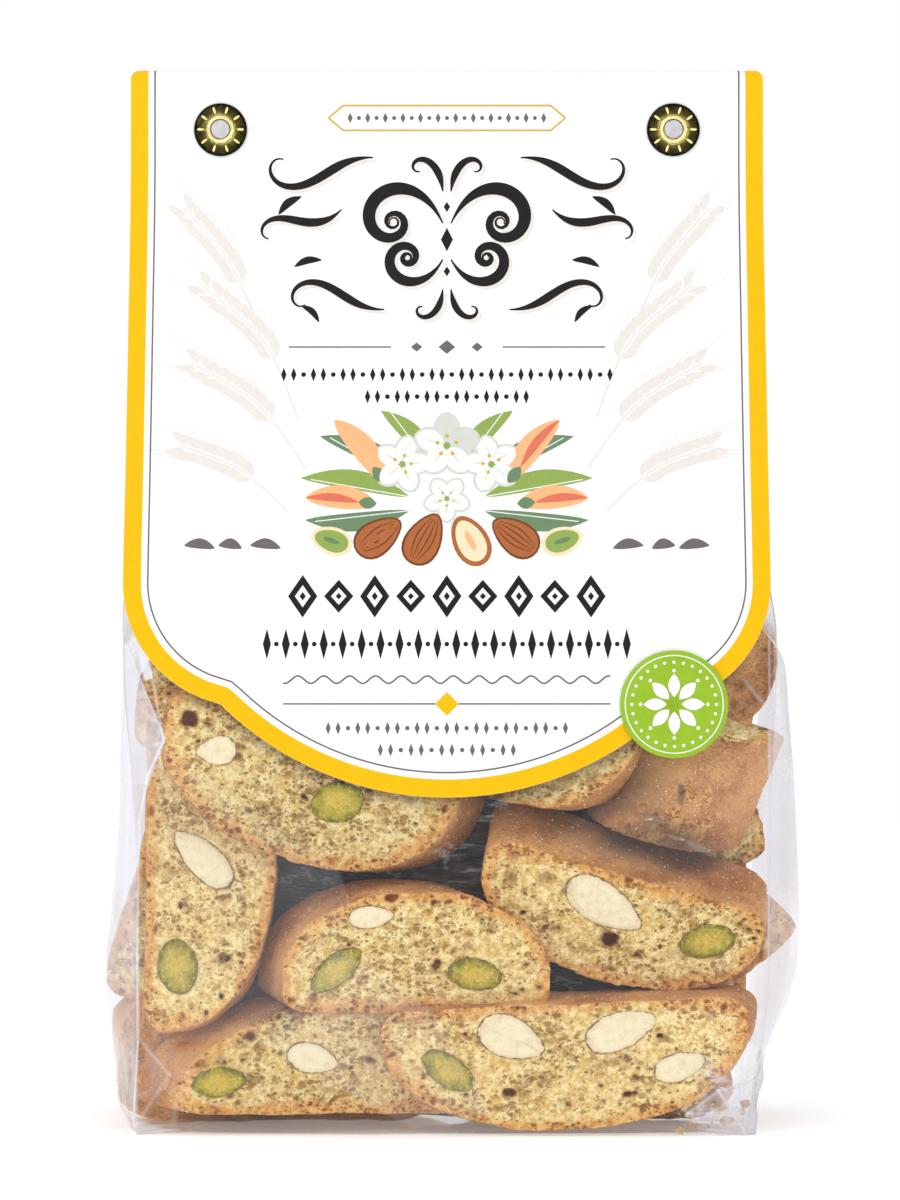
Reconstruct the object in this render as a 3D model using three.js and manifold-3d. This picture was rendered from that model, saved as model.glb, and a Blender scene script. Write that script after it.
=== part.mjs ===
// A sealed clear bag of almond biscotti, standing on its block bottom, under a folded header card.
// The card is held through the flattened top of the bag by two rivets, and a round paper seal
// bridges the card's lower edge and the bag.
//
// Millimetres. X runs to the right of the shown face, Y runs back from it and Z is up. The origin is
// the middle of the pack's bounding box at the level that it stands on.
import * as THREE from "three";
import { mergeVertices } from "three/addons/utils/BufferGeometryUtils.js";
import Module from "manifold-3d";

const wasm = await Module();
wasm.setup();

// ---------------------------------------------------------------- driving dimensions

const PACK_HEIGHT = 228;
const GAP = 0.3; // between any two neighbouring pieces

// The header card hangs a little to the left of the bag's middle.
const CARD_CENTRE_X = -1;
const CARD_HALF_WIDTH = 68.6;
const CARD_THICKNESS = 0.6;
const CARD_TOP_CORNER_R = 2;
const CARD_TIP_Z = 71.4; // lowest point of the lower edge
const CARD_SHOULDER_Z = 117; // where the straight sides end
const CARD_SHOULDER_R = 26.5; // quarter round under each side
const CARD_APRON_R = 68; // wide arc between the two notches
const FOLD_R = 1.6; // outer radius of the fold along the top

// Half the depth over the card's two leaves, from below its tip up to its clamped top: [half depth, height].
const LEAF_STATIONS = [
  [29.2, 60],
  [28.6, 72],
  [27.1, 92],
  [23.9, 114],
  [16.2, 142],
  [8.0, 175],
  [2.6, 199],
  [1.6, 209],
  [1.6, PACK_HEIGHT - FOLD_R],
];
const LEAF_STEPS = 36;

const RIVET_SPACING = 98.2;
const RIVET_Z = 215;
const CAP_R = 5.75;
const CAP_RIM_DROP = 0.35; // how far the cap's outer rim falls below its flat
const CAP_FLAT_DEPTH = 0.9;
const COLLAR_R = 3;
const COLLAR_DEPTH = 1.7;
const SHANK_R = 2.1;
const SHANK_STANDS = 1.25; // how far the shank reaches above the card's face, inside the collar
const HEAD_R = 5.2;
const HEAD_DEPTH = 0.9;
const ROUND_STEPS = 32;

const SEAL_R = 11.4;
const SEAL_THICKNESS = 0.3;
const SEAL_X = 47.9; // from the card's middle, over its right notch
const SEAL_Z = 91;
const SEAL_STEPS = 56;

// The bag's front and back panels meet its side gussets in four upright creases.
// How far the creases stand out from the middle, on the left and on the right: [distance, height].
const LEFT_CREASE = [
  [66.0, 0],
  [65.6, 30],
  [66.4, 62],
  [69.4, 96],
  [69.8, 110],
  [67.4, 128],
  [66.4, 170],
  [66.0, PACK_HEIGHT],
];
const RIGHT_CREASE = [
  [62.9, 0],
  [63.3, 6],
  [64.4, 14],
  [66.0, 26],
  [66.7, 40],
  [66.9, 62],
  [67.6, 80],
  [68.8, 96],
  [69.0, 106],
  [67.6, 117],
  [66.8, 130],
  [66.4, 170],
  [66.0, PACK_HEIGHT],
];
// How far the filled gussets swell past the creases, on the left and on the right: [swell, height].
const LEFT_SWELL = [
  [3.5, 0],
  [6.8, 6],
  [7.2, 13],
  [8.3, 19],
  [9.8, 28],
  [9.5, 35],
  [8.4, 42],
  [6.6, 56],
  [4.0, 78],
  [1.8, 93],
  [1.2, 104],
  [0, 118],
  [0, PACK_HEIGHT],
];
const RIGHT_SWELL = [
  [1.0, 0],
  [1.8, 6],
  [2.2, 14],
  [4.4, 20],
  [7.4, 28],
  [8.6, 35],
  [8.8, 43],
  [8.6, 52],
  [8.0, 64],
  [6.8, 77],
  [4.6, 90],
  [2.6, 104],
  [0, 118],
  [0, PACK_HEIGHT],
];
// Half the depth of the bag below the card: [half depth, height].
const BELLY_STATIONS = [
  [28.6, 0],
  [29.8, 14],
  [30.6, 34],
  [29.6, 52],
  [27.75, 72],
];
const GUSSET_HALF_DEPTH = 31; // flat, from a crease to the gusset's middle fold
const GUSSET_FOLD_FROM = 98; // the gussets start to fold inwards here
const GUSSET_FOLD_TO = 132; // and lie in a full V from here up
const PANEL_CROWN = 0.11; // share of the depth that a full panel loses from its middle to a crease
const BASE_ROUND = 3; // radius of the bag's bottom edge
const FLAT_TOP_SLACK = 0.2; // between the bag's top edge and the inside of the fold, beyond the gap

const OUTLINE_STEPS = 20; // on each arc of the card's outline
const PANEL_STEPS = 12;
const GUSSET_STEPS = 8;
const BAG_STEP = 6.5;
const BASE_STEPS = 4;
const CUTTER_REACH = 90; // half the length of the prisms that cut the card and the bag

// ---------------------------------------------------------------- materials

const FILM = new THREE.MeshStandardMaterial({ color: 0xd9ba88, roughness: 0.18, metalness: 0 });
const CARD = new THREE.MeshStandardMaterial({ color: 0xfbfbf9, roughness: 0.55, metalness: 0 });
const BRASS = new THREE.MeshStandardMaterial({ color: 0xb79a48, roughness: 0.3, metalness: 1 });
const ALUMINIUM = new THREE.MeshStandardMaterial({ color: 0xd8d6da, roughness: 0.35, metalness: 1 });
const SEAL_GREEN = new THREE.MeshStandardMaterial({ color: 0x96bc0e, roughness: 0.4, metalness: 0 });

// ---------------------------------------------------------------- helpers

// A closed geometry as a manifold-3d solid.
function toSolid(geometry) {
  const bare = geometry.clone();
  bare.deleteAttribute("normal");
  bare.deleteAttribute("uv");
  const merged = mergeVertices(bare, 1e-4);
  const vertProperties = new Float32Array(merged.attributes.position.array);
  const triVerts = new Uint32Array(merged.index.array);
  return new wasm.Manifold(new wasm.Mesh({ numProp: 3, vertProperties, triVerts }));
}

// A manifold-3d solid as a geometry.
function toGeometry(solid) {
  const { vertProperties, triVerts } = solid.getMesh();
  const geometry = new THREE.BufferGeometry();
  geometry.setAttribute("position", new THREE.BufferAttribute(vertProperties, 3));
  geometry.setIndex(new THREE.BufferAttribute(triVerts, 1));
  geometry.computeVertexNormals();
  return geometry;
}

function makeMesh(name, geometry, material) {
  const mesh = new THREE.Mesh(geometry, material);
  mesh.name = name;
  return mesh;
}

// A smooth function of height through [value, height] stations, lowest station first.
function alongHeight(stations) {
  const samples = new THREE.SplineCurve(stations.map(([value, z]) => new THREE.Vector2(value, z)))
    .getPoints(12 * stations.length);
  return (z) => {
    const above = samples.findIndex((p) => p.y >= z);
    if (above < 0) return samples[samples.length - 1].x;
    if (above === 0) return samples[0].x;
    const low = samples[above - 1];
    const high = samples[above];
    return THREE.MathUtils.mapLinear(z, low.y, high.y, low.x, high.x);
  };
}

const leafHalfDepth = alongHeight(LEAF_STATIONS);

function leafSlope(z) {
  return leafHalfDepth(z + 0.5) - leafHalfDepth(z - 0.5);
}

// A prism along Y, from an outline in X and Z.
function prismAlongY(shape) {
  const prism = new THREE.ExtrudeGeometry(shape, {
    depth: 2 * CUTTER_REACH,
    bevelEnabled: false,
    curveSegments: OUTLINE_STEPS,
  });
  return prism.translate(0, 0, -CUTTER_REACH).rotateX(Math.PI / 2);
}

// The hole that a rivet's shank passes through, as a prism along Y.
function shankHole(x) {
  const circle = new THREE.Shape().absarc(x, RIVET_Z, SHANK_R + GAP, 0, 2 * Math.PI);
  return toSolid(prismAlongY(circle));
}

function rivetXs() {
  return [-1, 1].map((side) => CARD_CENTRE_X + (side * RIVET_SPACING) / 2);
}

function cutShankHoles(solid) {
  return rivetXs().reduce((rest, x) => rest.subtract(shankHole(x)), solid);
}

// ---------------------------------------------------------------- header card

// Where the quarter round and the apron's arc cross: the notch, in X from the card's middle and Z.
function cardNotch() {
  const round = new THREE.Vector2(CARD_HALF_WIDTH - CARD_SHOULDER_R, CARD_SHOULDER_Z);
  const apron = new THREE.Vector2(0, CARD_TIP_Z + CARD_APRON_R);
  const between = round.clone().sub(apron);
  const distance = between.length();
  const along = (CARD_APRON_R ** 2 - CARD_SHOULDER_R ** 2 + distance ** 2) / (2 * distance);
  const aside = Math.sqrt(CARD_APRON_R ** 2 - along ** 2);
  const unit = between.normalize();
  const notch = apron.clone().addScaledVector(unit, along);
  notch.add(new THREE.Vector2(-unit.y, unit.x).multiplyScalar(-aside));
  if (notch.y > round.y) {
    notch.add(new THREE.Vector2(-unit.y, unit.x).multiplyScalar(2 * aside));
  }
  return { notch, round, apron };
}

// The card's front outline: square shoulders at the top, an ogee below.
function cardOutline() {
  const { notch, round, apron } = cardNotch();
  const roundEnd = Math.atan2(notch.y - round.y, notch.x - round.x);
  const apronStart = Math.atan2(notch.y - apron.y, notch.x - apron.x);
  const cornerX = CARD_HALF_WIDTH - CARD_TOP_CORNER_R;
  const cornerZ = PACK_HEIGHT - CARD_TOP_CORNER_R;
  const shape = new THREE.Shape();
  shape.absarc(cornerX, cornerZ, CARD_TOP_CORNER_R, Math.PI / 2, 0, true);
  shape.absarc(round.x, round.y, CARD_SHOULDER_R, 0, roundEnd, true);
  shape.absarc(0, apron.y, CARD_APRON_R, apronStart, -Math.PI - apronStart, true);
  shape.absarc(-round.x, round.y, CARD_SHOULDER_R, -Math.PI - roundEnd, -Math.PI, true);
  shape.absarc(-cornerX, cornerZ, CARD_TOP_CORNER_R, Math.PI, Math.PI / 2, true);
  return shape;
}

// The folded sheet seen from its side, as a loop in Y and Z at an inset from its outer faces.
function foldedProfile(inset) {
  const low = LEAF_STATIONS[0][1];
  const high = PACK_HEIGHT - FOLD_R;
  const front = [];
  for (let i = 0; i <= LEAF_STEPS; i += 1) {
    const z = THREE.MathUtils.lerp(low, high, i / LEAF_STEPS);
    front.push(new THREE.Vector2(-leafHalfDepth(z) + inset * Math.hypot(1, leafSlope(z)), z));
  }
  const fold = [];
  const foldSteps = 10;
  for (let i = 1; i < foldSteps; i += 1) {
    const angle = Math.PI - (Math.PI * i) / foldSteps;
    const r = FOLD_R - inset;
    fold.push(new THREE.Vector2(r * Math.cos(angle), high + r * Math.sin(angle)));
  }
  const back = front.map((p) => new THREE.Vector2(-p.x, p.y)).reverse();
  return [...front, ...fold, ...back];
}

// Both leaves and the fold between them, cut to the outline, with the rivets' holes.
function headerCard() {
  const band = [...foldedProfile(0), ...foldedProfile(CARD_THICKNESS).reverse()];
  const folded = new THREE.ExtrudeGeometry(new THREE.Shape(band), {
    depth: 2 * CUTTER_REACH,
    bevelEnabled: false,
  });
  folded.translate(0, 0, -CUTTER_REACH);
  const alongY = new THREE.Vector3(0, 1, 0);
  const alongZ = new THREE.Vector3(0, 0, 1);
  const alongX = new THREE.Vector3(1, 0, 0);
  folded.applyMatrix4(new THREE.Matrix4().makeBasis(alongY, alongZ, alongX));
  const outline = prismAlongY(cardOutline()).translate(CARD_CENTRE_X, 0, 0);
  const card = toSolid(folded).intersect(toSolid(outline));
  return makeMesh("header_card", toGeometry(cutShankHoles(card)), CARD);
}

// ---------------------------------------------------------------- bag

const leftCrease = alongHeight(LEFT_CREASE);
const rightCrease = alongHeight(RIGHT_CREASE);
const bellyHalfDepth = alongHeight(BELLY_STATIONS);
const leftSwell = alongHeight(LEFT_SWELL);
const rightSwell = alongHeight(RIGHT_SWELL);

function bagHalfDepth(z) {
  const underCard = BELLY_STATIONS[BELLY_STATIONS.length - 1][1];
  if (z < underCard) return bellyHalfDepth(z);
  return leafHalfDepth(z) - (CARD_THICKNESS + GAP) * Math.hypot(1, leafSlope(z));
}

// One level of the bag, anticlockwise from its front left crease. The panels are crowned where the
// bag is full and flat at its top. The gussets swell where it is full and fold in to a V above.
function bagSection(z) {
  const depth = bagHalfDepth(z);
  const folding = THREE.MathUtils.smoothstep(z, GUSSET_FOLD_FROM, GUSSET_FOLD_TO);
  const crown = PANEL_CROWN * (1 - folding);
  const creaseY = depth * (1 - crown);
  const inset = folding * Math.sqrt(Math.max(0, GUSSET_HALF_DEPTH ** 2 - creaseY ** 2));
  const roundness = 2 - folding;
  const panel = (left, right) => {
    const face = [];
    for (let i = 0; i < PANEL_STEPS; i += 1) {
      const t = (2 * i) / PANEL_STEPS - 1;
      face.push([t * (t < 0 ? left : right), -depth * (1 - crown * t ** 4)]);
    }
    return face;
  };
  const gusset = (creaseX, swell) => {
    const side = [];
    for (let i = 0; i < GUSSET_STEPS; i += 1) {
      const t = (2 * i) / GUSSET_STEPS - 1;
      side.push([creaseX + (swell - inset) * (1 - Math.abs(t) ** roundness), t * creaseY]);
    }
    return side;
  };
  const turned = (points) => points.map(([x, y]) => [-x, -y]);
  const left = leftCrease(z);
  const right = rightCrease(z);
  return [
    ...panel(left, right),
    ...gusset(right, rightSwell(z)),
    ...turned(panel(right, left)),
    ...turned(gusset(left, leftSwell(z))),
  ];
}

// The levels of the bag, from its base, round its bottom edge and up to its flat top: [height, inset].
function bagLevels() {
  const top = PACK_HEIGHT - CARD_THICKNESS - GAP - FLAT_TOP_SLACK - (FOLD_R - CARD_THICKNESS) / 2;
  const levels = [];
  for (let i = 0; i < BASE_STEPS; i += 1) {
    const angle = (Math.PI / 2) * (i / BASE_STEPS);
    levels.push([BASE_ROUND * (1 - Math.cos(angle)), BASE_ROUND * (1 - Math.sin(angle))]);
  }
  const steps = Math.round((top - BASE_ROUND) / BAG_STEP);
  for (let i = 0; i <= steps; i += 1) {
    levels.push([THREE.MathUtils.lerp(BASE_ROUND, top, i / steps), 0]);
  }
  return levels;
}

function insetPoint([x, y], inset, z) {
  const width = x < 0 ? leftCrease(z) : rightCrease(z);
  return [x * (1 - inset / width), y * (1 - inset / bagHalfDepth(z))];
}

function bag() {
  const levels = bagLevels();
  const rings = levels.map(([z, inset]) => {
    const section = bagSection(z);
    return section.map((point) => [...insetPoint(point, inset, z), z]);
  });
  const count = rings[0].length;
  const positions = rings.flat(2);
  const baseCentre = positions.length / 3;
  positions.push(0, 0, 0);
  positions.push(0, 0, levels[levels.length - 1][0]);
  const topCentre = baseCentre + 1;
  const last = (rings.length - 1) * count;
  const triangles = [];
  for (let j = 0; j < count; j += 1) {
    const next = (j + 1) % count;
    triangles.push(baseCentre, next, j);
    triangles.push(topCentre, last + j, last + next);
    for (let i = 0; i + 1 < rings.length; i += 1) {
      const low = i * count;
      const high = low + count;
      triangles.push(low + j, low + next, high + next);
      triangles.push(low + j, high + next, high + j);
    }
  }
  const geometry = new THREE.BufferGeometry();
  geometry.setAttribute("position", new THREE.Float32BufferAttribute(positions, 3));
  geometry.setIndex(triangles);
  return makeMesh("bag", toGeometry(cutShankHoles(toSolid(geometry))), FILM);
}

// ---------------------------------------------------------------- rivets

// A turned piece whose axis points out of the card's front: profile points are [radius, depth].
function turnedPiece(name, profile, material, x) {
  const points = profile.map(([r, depth]) => new THREE.Vector2(r, depth));
  const mesh = makeMesh(name, new THREE.LatheGeometry(points, ROUND_STEPS).rotateX(Math.PI), material);
  mesh.position.set(x, 0, RIVET_Z);
  return mesh;
}

// A pressed brass cap on the front leaf: a low dished ring with a raised collar round its hole.
function rivetCap(name, x) {
  const seat = FOLD_R + GAP;
  const hole = SHANK_R + GAP;
  const profile = [
    [hole, seat],
    [CAP_R - 0.25, seat],
    [CAP_R, seat + 0.2],
    [CAP_R - 0.05, seat + CAP_FLAT_DEPTH - CAP_RIM_DROP],
    [CAP_R - 0.7, seat + CAP_FLAT_DEPTH - 0.05],
    [COLLAR_R + 0.35, seat + CAP_FLAT_DEPTH],
    [COLLAR_R + 0.05, seat + CAP_FLAT_DEPTH + 0.3],
    [COLLAR_R - 0.05, seat + COLLAR_DEPTH - 0.15],
    [COLLAR_R - 0.25, seat + COLLAR_DEPTH],
    [hole + 0.12, seat + COLLAR_DEPTH],
    [hole, seat + COLLAR_DEPTH - 0.12],
    [hole, seat],
  ];
  return turnedPiece(name, profile, BRASS, x);
}

// The aluminium pin: a low domed head on the back leaf, and a shank that ends inside the collar.
function rivetPin(name, x) {
  const seat = -(FOLD_R + GAP);
  const tip = FOLD_R + GAP + SHANK_STANDS;
  const profile = [
    [0, seat - HEAD_DEPTH],
    [HEAD_R * 0.55, seat - HEAD_DEPTH * 0.94],
    [HEAD_R * 0.88, seat - HEAD_DEPTH * 0.7],
    [HEAD_R, seat - HEAD_DEPTH * 0.3],
    [HEAD_R - 0.1, seat],
    [SHANK_R, seat],
    [SHANK_R, tip - 0.2],
    [SHANK_R - 0.2, tip],
    [0, tip + 0.05],
  ];
  return turnedPiece(name, profile, ALUMINIUM, x);
}

// ---------------------------------------------------------------- seal

// A round sticker over the card's right notch, lying in the plane that touches the leaf there.
function seal() {
  const disc = new THREE.CylinderGeometry(SEAL_R, SEAL_R, SEAL_THICKNESS, SEAL_STEPS);
  const mesh = makeMesh("seal", disc, SEAL_GREEN);
  const tilt = Math.atan(leafSlope(SEAL_Z));
  const away = GAP + SEAL_THICKNESS / 2;
  mesh.rotation.x = tilt;
  mesh.position.set(
    CARD_CENTRE_X + SEAL_X,
    -leafHalfDepth(SEAL_Z) - away * Math.cos(tilt),
    SEAL_Z - away * Math.sin(tilt),
  );
  return mesh;
}

// ---------------------------------------------------------------- pack

const pack = new THREE.Group();
pack.add(bag());
pack.add(headerCard());
["left", "right"].forEach((side, i) => {
  const x = rivetXs()[i];
  pack.add(rivetCap("rivet_cap_" + side, x));
  pack.add(rivetPin("rivet_pin_" + side, x));
});
pack.add(seal());

export default pack;
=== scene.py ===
"""Looks of a clear gusseted bag of almond and pistachio biscotti under a riveted header card.

Everything is built in millimetres in numpy and written to meshes in metres, in the frame's axes: X to
the right of the shown face, Y back from it, Z up from the surface that the bag stands on.
"""
import logging
import math
from dataclasses import dataclass, field, replace
from enum import Enum
from typing import Callable, Iterable, Sequence

import bmesh
import bpy
import numpy as np
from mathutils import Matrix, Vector


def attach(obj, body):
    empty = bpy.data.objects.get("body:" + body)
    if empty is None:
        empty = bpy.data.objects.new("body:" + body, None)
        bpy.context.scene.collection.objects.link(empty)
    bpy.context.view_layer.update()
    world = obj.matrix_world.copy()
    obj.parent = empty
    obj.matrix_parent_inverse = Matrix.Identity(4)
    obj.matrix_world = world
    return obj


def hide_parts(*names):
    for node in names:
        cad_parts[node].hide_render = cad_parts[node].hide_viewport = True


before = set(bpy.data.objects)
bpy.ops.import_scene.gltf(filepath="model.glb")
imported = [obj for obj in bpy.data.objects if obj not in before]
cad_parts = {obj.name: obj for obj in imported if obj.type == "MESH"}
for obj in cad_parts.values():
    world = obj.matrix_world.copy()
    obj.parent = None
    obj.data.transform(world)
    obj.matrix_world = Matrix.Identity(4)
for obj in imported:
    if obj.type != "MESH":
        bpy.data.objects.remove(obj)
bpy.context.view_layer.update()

MM = 0.001
BODY = "root"
LOG = logging.getLogger("biscotti_bag")

Array = np.ndarray
Point = tuple[float, float]
Triple = tuple[float, float, float]
Faces = list[tuple[int, ...]]
Piece = bpy.types.Object
Mesh = bpy.types.Mesh
Material = bpy.types.Material
Node = bpy.types.Node
NodeTree = bpy.types.NodeTree


# ------------------------------------------------------------------ small helpers


def srgb(red: int, green: int, blue: int) -> tuple[float, float, float, float]:
    """A linear colour from 8-bit display values."""
    shares = [value / 255 for value in (red, green, blue)]
    return (*(s / 12.92 if s <= 0.04045 else ((s + 0.055) / 1.055) ** 2.4 for s in shares), 1.0)


def smoothstep(low: float, high: float, value: Array) -> Array:
    """Rises smoothly from 0 at low to 1 at high."""
    t = np.clip((value - low) / (high - low), 0.0, 1.0)
    return t * t * (3 - 2 * t)


def cos_sin(degrees: float) -> Point:
    """The cosine and sine of an angle in degrees."""
    return math.cos(math.radians(degrees)), math.sin(math.radians(degrees))


def spun(spots: Array, degrees: float) -> Array:
    """Flat places turned anticlockwise about their origin."""
    c, s = cos_sin(degrees)
    x, y = np.asarray(spots, float).T
    return np.column_stack([x * c - y * s, x * s + y * c])


def chord(radius: float, offset: Array) -> Array:
    """Half a circle's chord at some distance from its middle, and 0 outside the circle."""
    return np.sqrt(np.maximum(radius ** 2 - np.asarray(offset) ** 2, 0))


def left_of(line: Array) -> Array:
    """Unit steps to the left of a flat line's own direction, at each of its points."""
    step = np.gradient(line, axis=0)
    step /= np.maximum(np.linalg.norm(step, axis=1, keepdims=True), 1e-9)
    return np.column_stack([-step[:, 1], step[:, 0]])


def at_level(x: Array, y: Array, level: float) -> Array:
    """Flat places as N x 3 places at one level."""
    return np.column_stack([x, y, np.full(len(x), level)])


def from_oval(points: Array, x: float, z: float, half_x: float, half_z: float) -> Array:
    """How far points are from an upright oval's middle as seen from the front, 1 on its edge."""
    return np.hypot((points[:, 0] - x) / half_x, (points[:, 2] - z) / half_z)


def turn_about(axis: int, degrees: float) -> Array:
    """A rotation matrix about X, Y or Z (axis 0, 1 or 2)."""
    c, s = cos_sin(degrees)
    a, b = [(1, 2), (2, 0), (0, 1)][axis]
    matrix = np.eye(3)
    matrix[a, a] = matrix[b, b] = c
    matrix[a, b], matrix[b, a] = -s, s
    return matrix


def along(stations: Sequence[Point], height: Array) -> Array:
    """A smooth value at each height through (height, value) stations.

    Args:
        stations: heights and values, lowest first.
        height: where to read the value.

    Returns:
        The value of a monotone cubic through the stations.
    """
    z, v = np.array(stations, float).T
    slopes = np.diff(v) / np.diff(z)
    tangents = np.zeros_like(v)
    tangents[0], tangents[-1] = slopes[0], slopes[-1]
    same_way = slopes[:-1] * slopes[1:] > 0
    inner = 2 * slopes[:-1] * slopes[1:] / np.where(same_way, slopes[:-1] + slopes[1:], 1)
    tangents[1:-1] = np.where(same_way, inner, 0)
    x = np.clip(np.asarray(height, float), z[0], z[-1])
    i = np.clip(np.searchsorted(z, x) - 1, 0, len(z) - 2)
    step = z[i + 1] - z[i]
    t = (x - z[i]) / step
    return ((1 + 2 * t) * (1 - t) ** 2 * v[i] + t * (1 - t) ** 2 * step * tangents[i]
            + t * t * (3 - 2 * t) * v[i + 1] + t * t * (t - 1) * step * tangents[i + 1])


def lattice_noise(points: Array, size: float, seed: int) -> Array:
    """Smooth noise, the same in every run.

    Args:
        points: N x 3 places.
        size: about how large its features are.
        seed: which noise.

    Returns:
        N values between -1 and 1.
    """
    cell = points / size
    base = np.floor(cell).astype(np.int64)
    t = cell - base
    t = t * t * (3 - 2 * t)
    total = np.zeros(len(points))
    for corner in range(8):
        offset = np.array([corner & 1, corner >> 1 & 1, corner >> 2 & 1])
        i = base + offset
        h = (i[:, 0] * 374761393 + i[:, 1] * 668265263 + i[:, 2] * 2147483647
             + seed * 1274126177) & 0xFFFFFFFF
        h = (h ^ (h >> 13)) * 1274126177 & 0xFFFFFFFF
        value = ((h ^ (h >> 16)) & 0xFFFF) / 32767.5 - 1
        total += value * np.prod(np.where(offset, t, 1 - t), axis=1)
    return total


def layered_noise(points: Array, seed: int, *layers: Triple) -> Array:
    """A sum of noises, each layer given as its strength, its size and what it adds to the seed."""
    return sum(strength * lattice_noise(points, size, seed + int(more)) for strength, size, more in layers)


def jitter(points: Array, size: float, seed: int) -> Array:
    """A noisy shift along each axis, for every point."""
    return np.column_stack([lattice_noise(points, size, seed + axis) for axis in range(3)])


def new_object(name: str, data: bpy.types.ID) -> Piece:
    """A linked object at the origin for a mesh, a light or a camera."""
    piece = bpy.data.objects.new(name, data)
    bpy.context.scene.collection.objects.link(piece)
    return piece


def make_mesh(name: str, points: Array, faces: Sequence, smooth: bool = True, unit: float = MM) -> Mesh:
    """A mesh in metres.

    Args:
        name: the mesh's name.
        points: N x 3, in millimetres.
        faces: tuples of point numbers.
        smooth: whether its faces are shaded smooth.
        unit: what the points are multiplied by.

    Returns:
        The mesh.
    """
    mesh = bpy.data.meshes.new(name)
    mesh.from_pydata((np.asarray(points) * unit).tolist(), [], [tuple(map(int, f)) for f in faces])
    mesh.polygons.foreach_set("use_smooth", [smooth] * len(mesh.polygons))
    mesh.update()
    return mesh


def set_attribute(mesh: Mesh, name: str, values: Array) -> None:
    """Stores one number for each point of a mesh."""
    layer = mesh.attributes.new(name, "FLOAT", "POINT")
    layer.data.foreach_set("value", np.asarray(values, np.float32))


def read_vectors(mesh: Mesh, what: str = "co") -> Array:
    """A mesh's points, or their normals, as an N x 3 array."""
    flat = np.zeros(len(mesh.vertices) * 3, np.float32)
    mesh.vertices.foreach_get(what, flat)
    return flat.reshape(-1, 3).astype(float)


def evaluated_mesh(piece: Piece, name: str) -> Mesh:
    """The mesh that a piece's modifiers make. The piece itself is removed."""
    bpy.context.view_layer.update()
    graph = bpy.context.evaluated_depsgraph_get()
    mesh = bpy.data.meshes.new_from_object(piece.evaluated_get(graph), depsgraph=graph)
    mesh.name = name
    bpy.data.objects.remove(piece)
    return mesh


def recalculate(piece: Piece) -> Piece:
    """Turns every face of a closed mesh outwards."""
    work = bmesh.new()
    work.from_mesh(piece.data)
    bmesh.ops.recalc_face_normals(work, faces=work.faces)
    work.to_mesh(piece.data)
    work.free()
    return piece


def grid_faces(rows: int, columns: int, wrap: bool = False) -> Faces:
    """Quads over a grid of points numbered row by row, wrapping each row round if asked."""
    last = columns if wrap else columns - 1
    return [(row * columns + i, row * columns + (i + 1) % columns,
             (row + 1) * columns + (i + 1) % columns, (row + 1) * columns + i)
            for row in range(rows - 1) for i in range(last)]


def loft(first: Array, rings: Array, last: Array) -> tuple[Array, Faces]:
    """A closed skin from a point, through rings of equal length, to a point.

    Args:
        first: the point before the first ring.
        rings: rings x columns x 3.
        last: the point after the last ring.

    Returns:
        Its points, the first one leading and the last one ending them, and its faces.
    """
    rows, columns, _ = np.shape(rings)
    end = 1 + rows * columns
    following = [(i, (i + 1) % columns) for i in range(columns)]
    faces = [(0, 1 + b, 1 + a) for a, b in following]
    faces += [tuple(1 + i for i in face) for face in grid_faces(rows, columns, wrap=True)]
    faces += [(end - columns + a, end - columns + b, end) for a, b in following]
    return np.vstack([np.reshape(first, (1, 3)), np.reshape(rings, (-1, 3)), np.reshape(last, (1, 3))]), faces


def between(top: Array, bottom: Array, faces: Faces) -> tuple[Array, Faces]:
    """A closed plate between two sheets of points that share the given faces.

    Args:
        top: N x 3, which the faces look out from.
        bottom: N x 3, under them.
        faces: the sheets' faces.

    Returns:
        The plate's points and faces.
    """
    count = len(top)
    edges = [edge for face in faces for edge in zip(face, face[1:] + face[:1])]
    known = set(edges)
    under = [tuple(count + i for i in reversed(face)) for face in faces]
    walls = [(a, count + a, count + b, b) for a, b in edges if (b, a) not in known]
    return np.vstack([top, bottom]), [*faces, *under, *walls]


@dataclass
class Shape:
    """Points and faces that are gathered before they become one mesh."""

    points: list = field(default_factory=list)
    faces: list = field(default_factory=list)
    slots: list = field(default_factory=list)
    values: list = field(default_factory=list)

    def add(self, points: Array, faces: Iterable, slot: Callable[[int], int] = lambda number: 0,
            values: Array | None = None) -> "Shape":
        """Adds one more shape.

        Args:
            points: N x 3, in millimetres.
            faces: tuples of point numbers.
            slot: gives each face's material slot from its number.
            values: an optional number for each point.

        Returns:
            The gathered shape.
        """
        start = sum(len(p) for p in self.points)
        self.points.append(np.asarray(points, float))
        for number, face in enumerate(faces):
            self.faces.append(tuple(start + i for i in face))
            self.slots.append(slot(number))
        self.values.append(np.zeros(len(points)) if values is None else values)
        return self

    def piece(self, name: str, materials: Sequence[Material], smooth: bool = True,
              attribute: str = "") -> Piece:
        """The gathered shapes as one object.

        Args:
            name: the object's name.
            materials: one for each slot.
            smooth: whether its faces are shaded smooth.
            attribute: what the points' numbers are stored as, if anything.

        Returns:
            The object.
        """
        mesh = make_mesh(name, np.vstack(self.points), self.faces, smooth)
        for material in materials:
            mesh.materials.append(material)
        mesh.polygons.foreach_set("material_index", self.slots)
        if attribute:
            set_attribute(mesh, attribute, np.concatenate(self.values))
        return new_object(name, mesh)


def keep(piece: Piece, slot: str, *replaced: str) -> Piece:
    """Ties a finished piece to the body, hides the nodes that it stands for and logs its material slot."""
    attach(piece, BODY)
    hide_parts(*replaced)
    LOG.info("%s: %d faces, slot %s", piece.name, len(piece.data.polygons), slot)
    return piece


# ------------------------------------------------------------------ node trees


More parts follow.
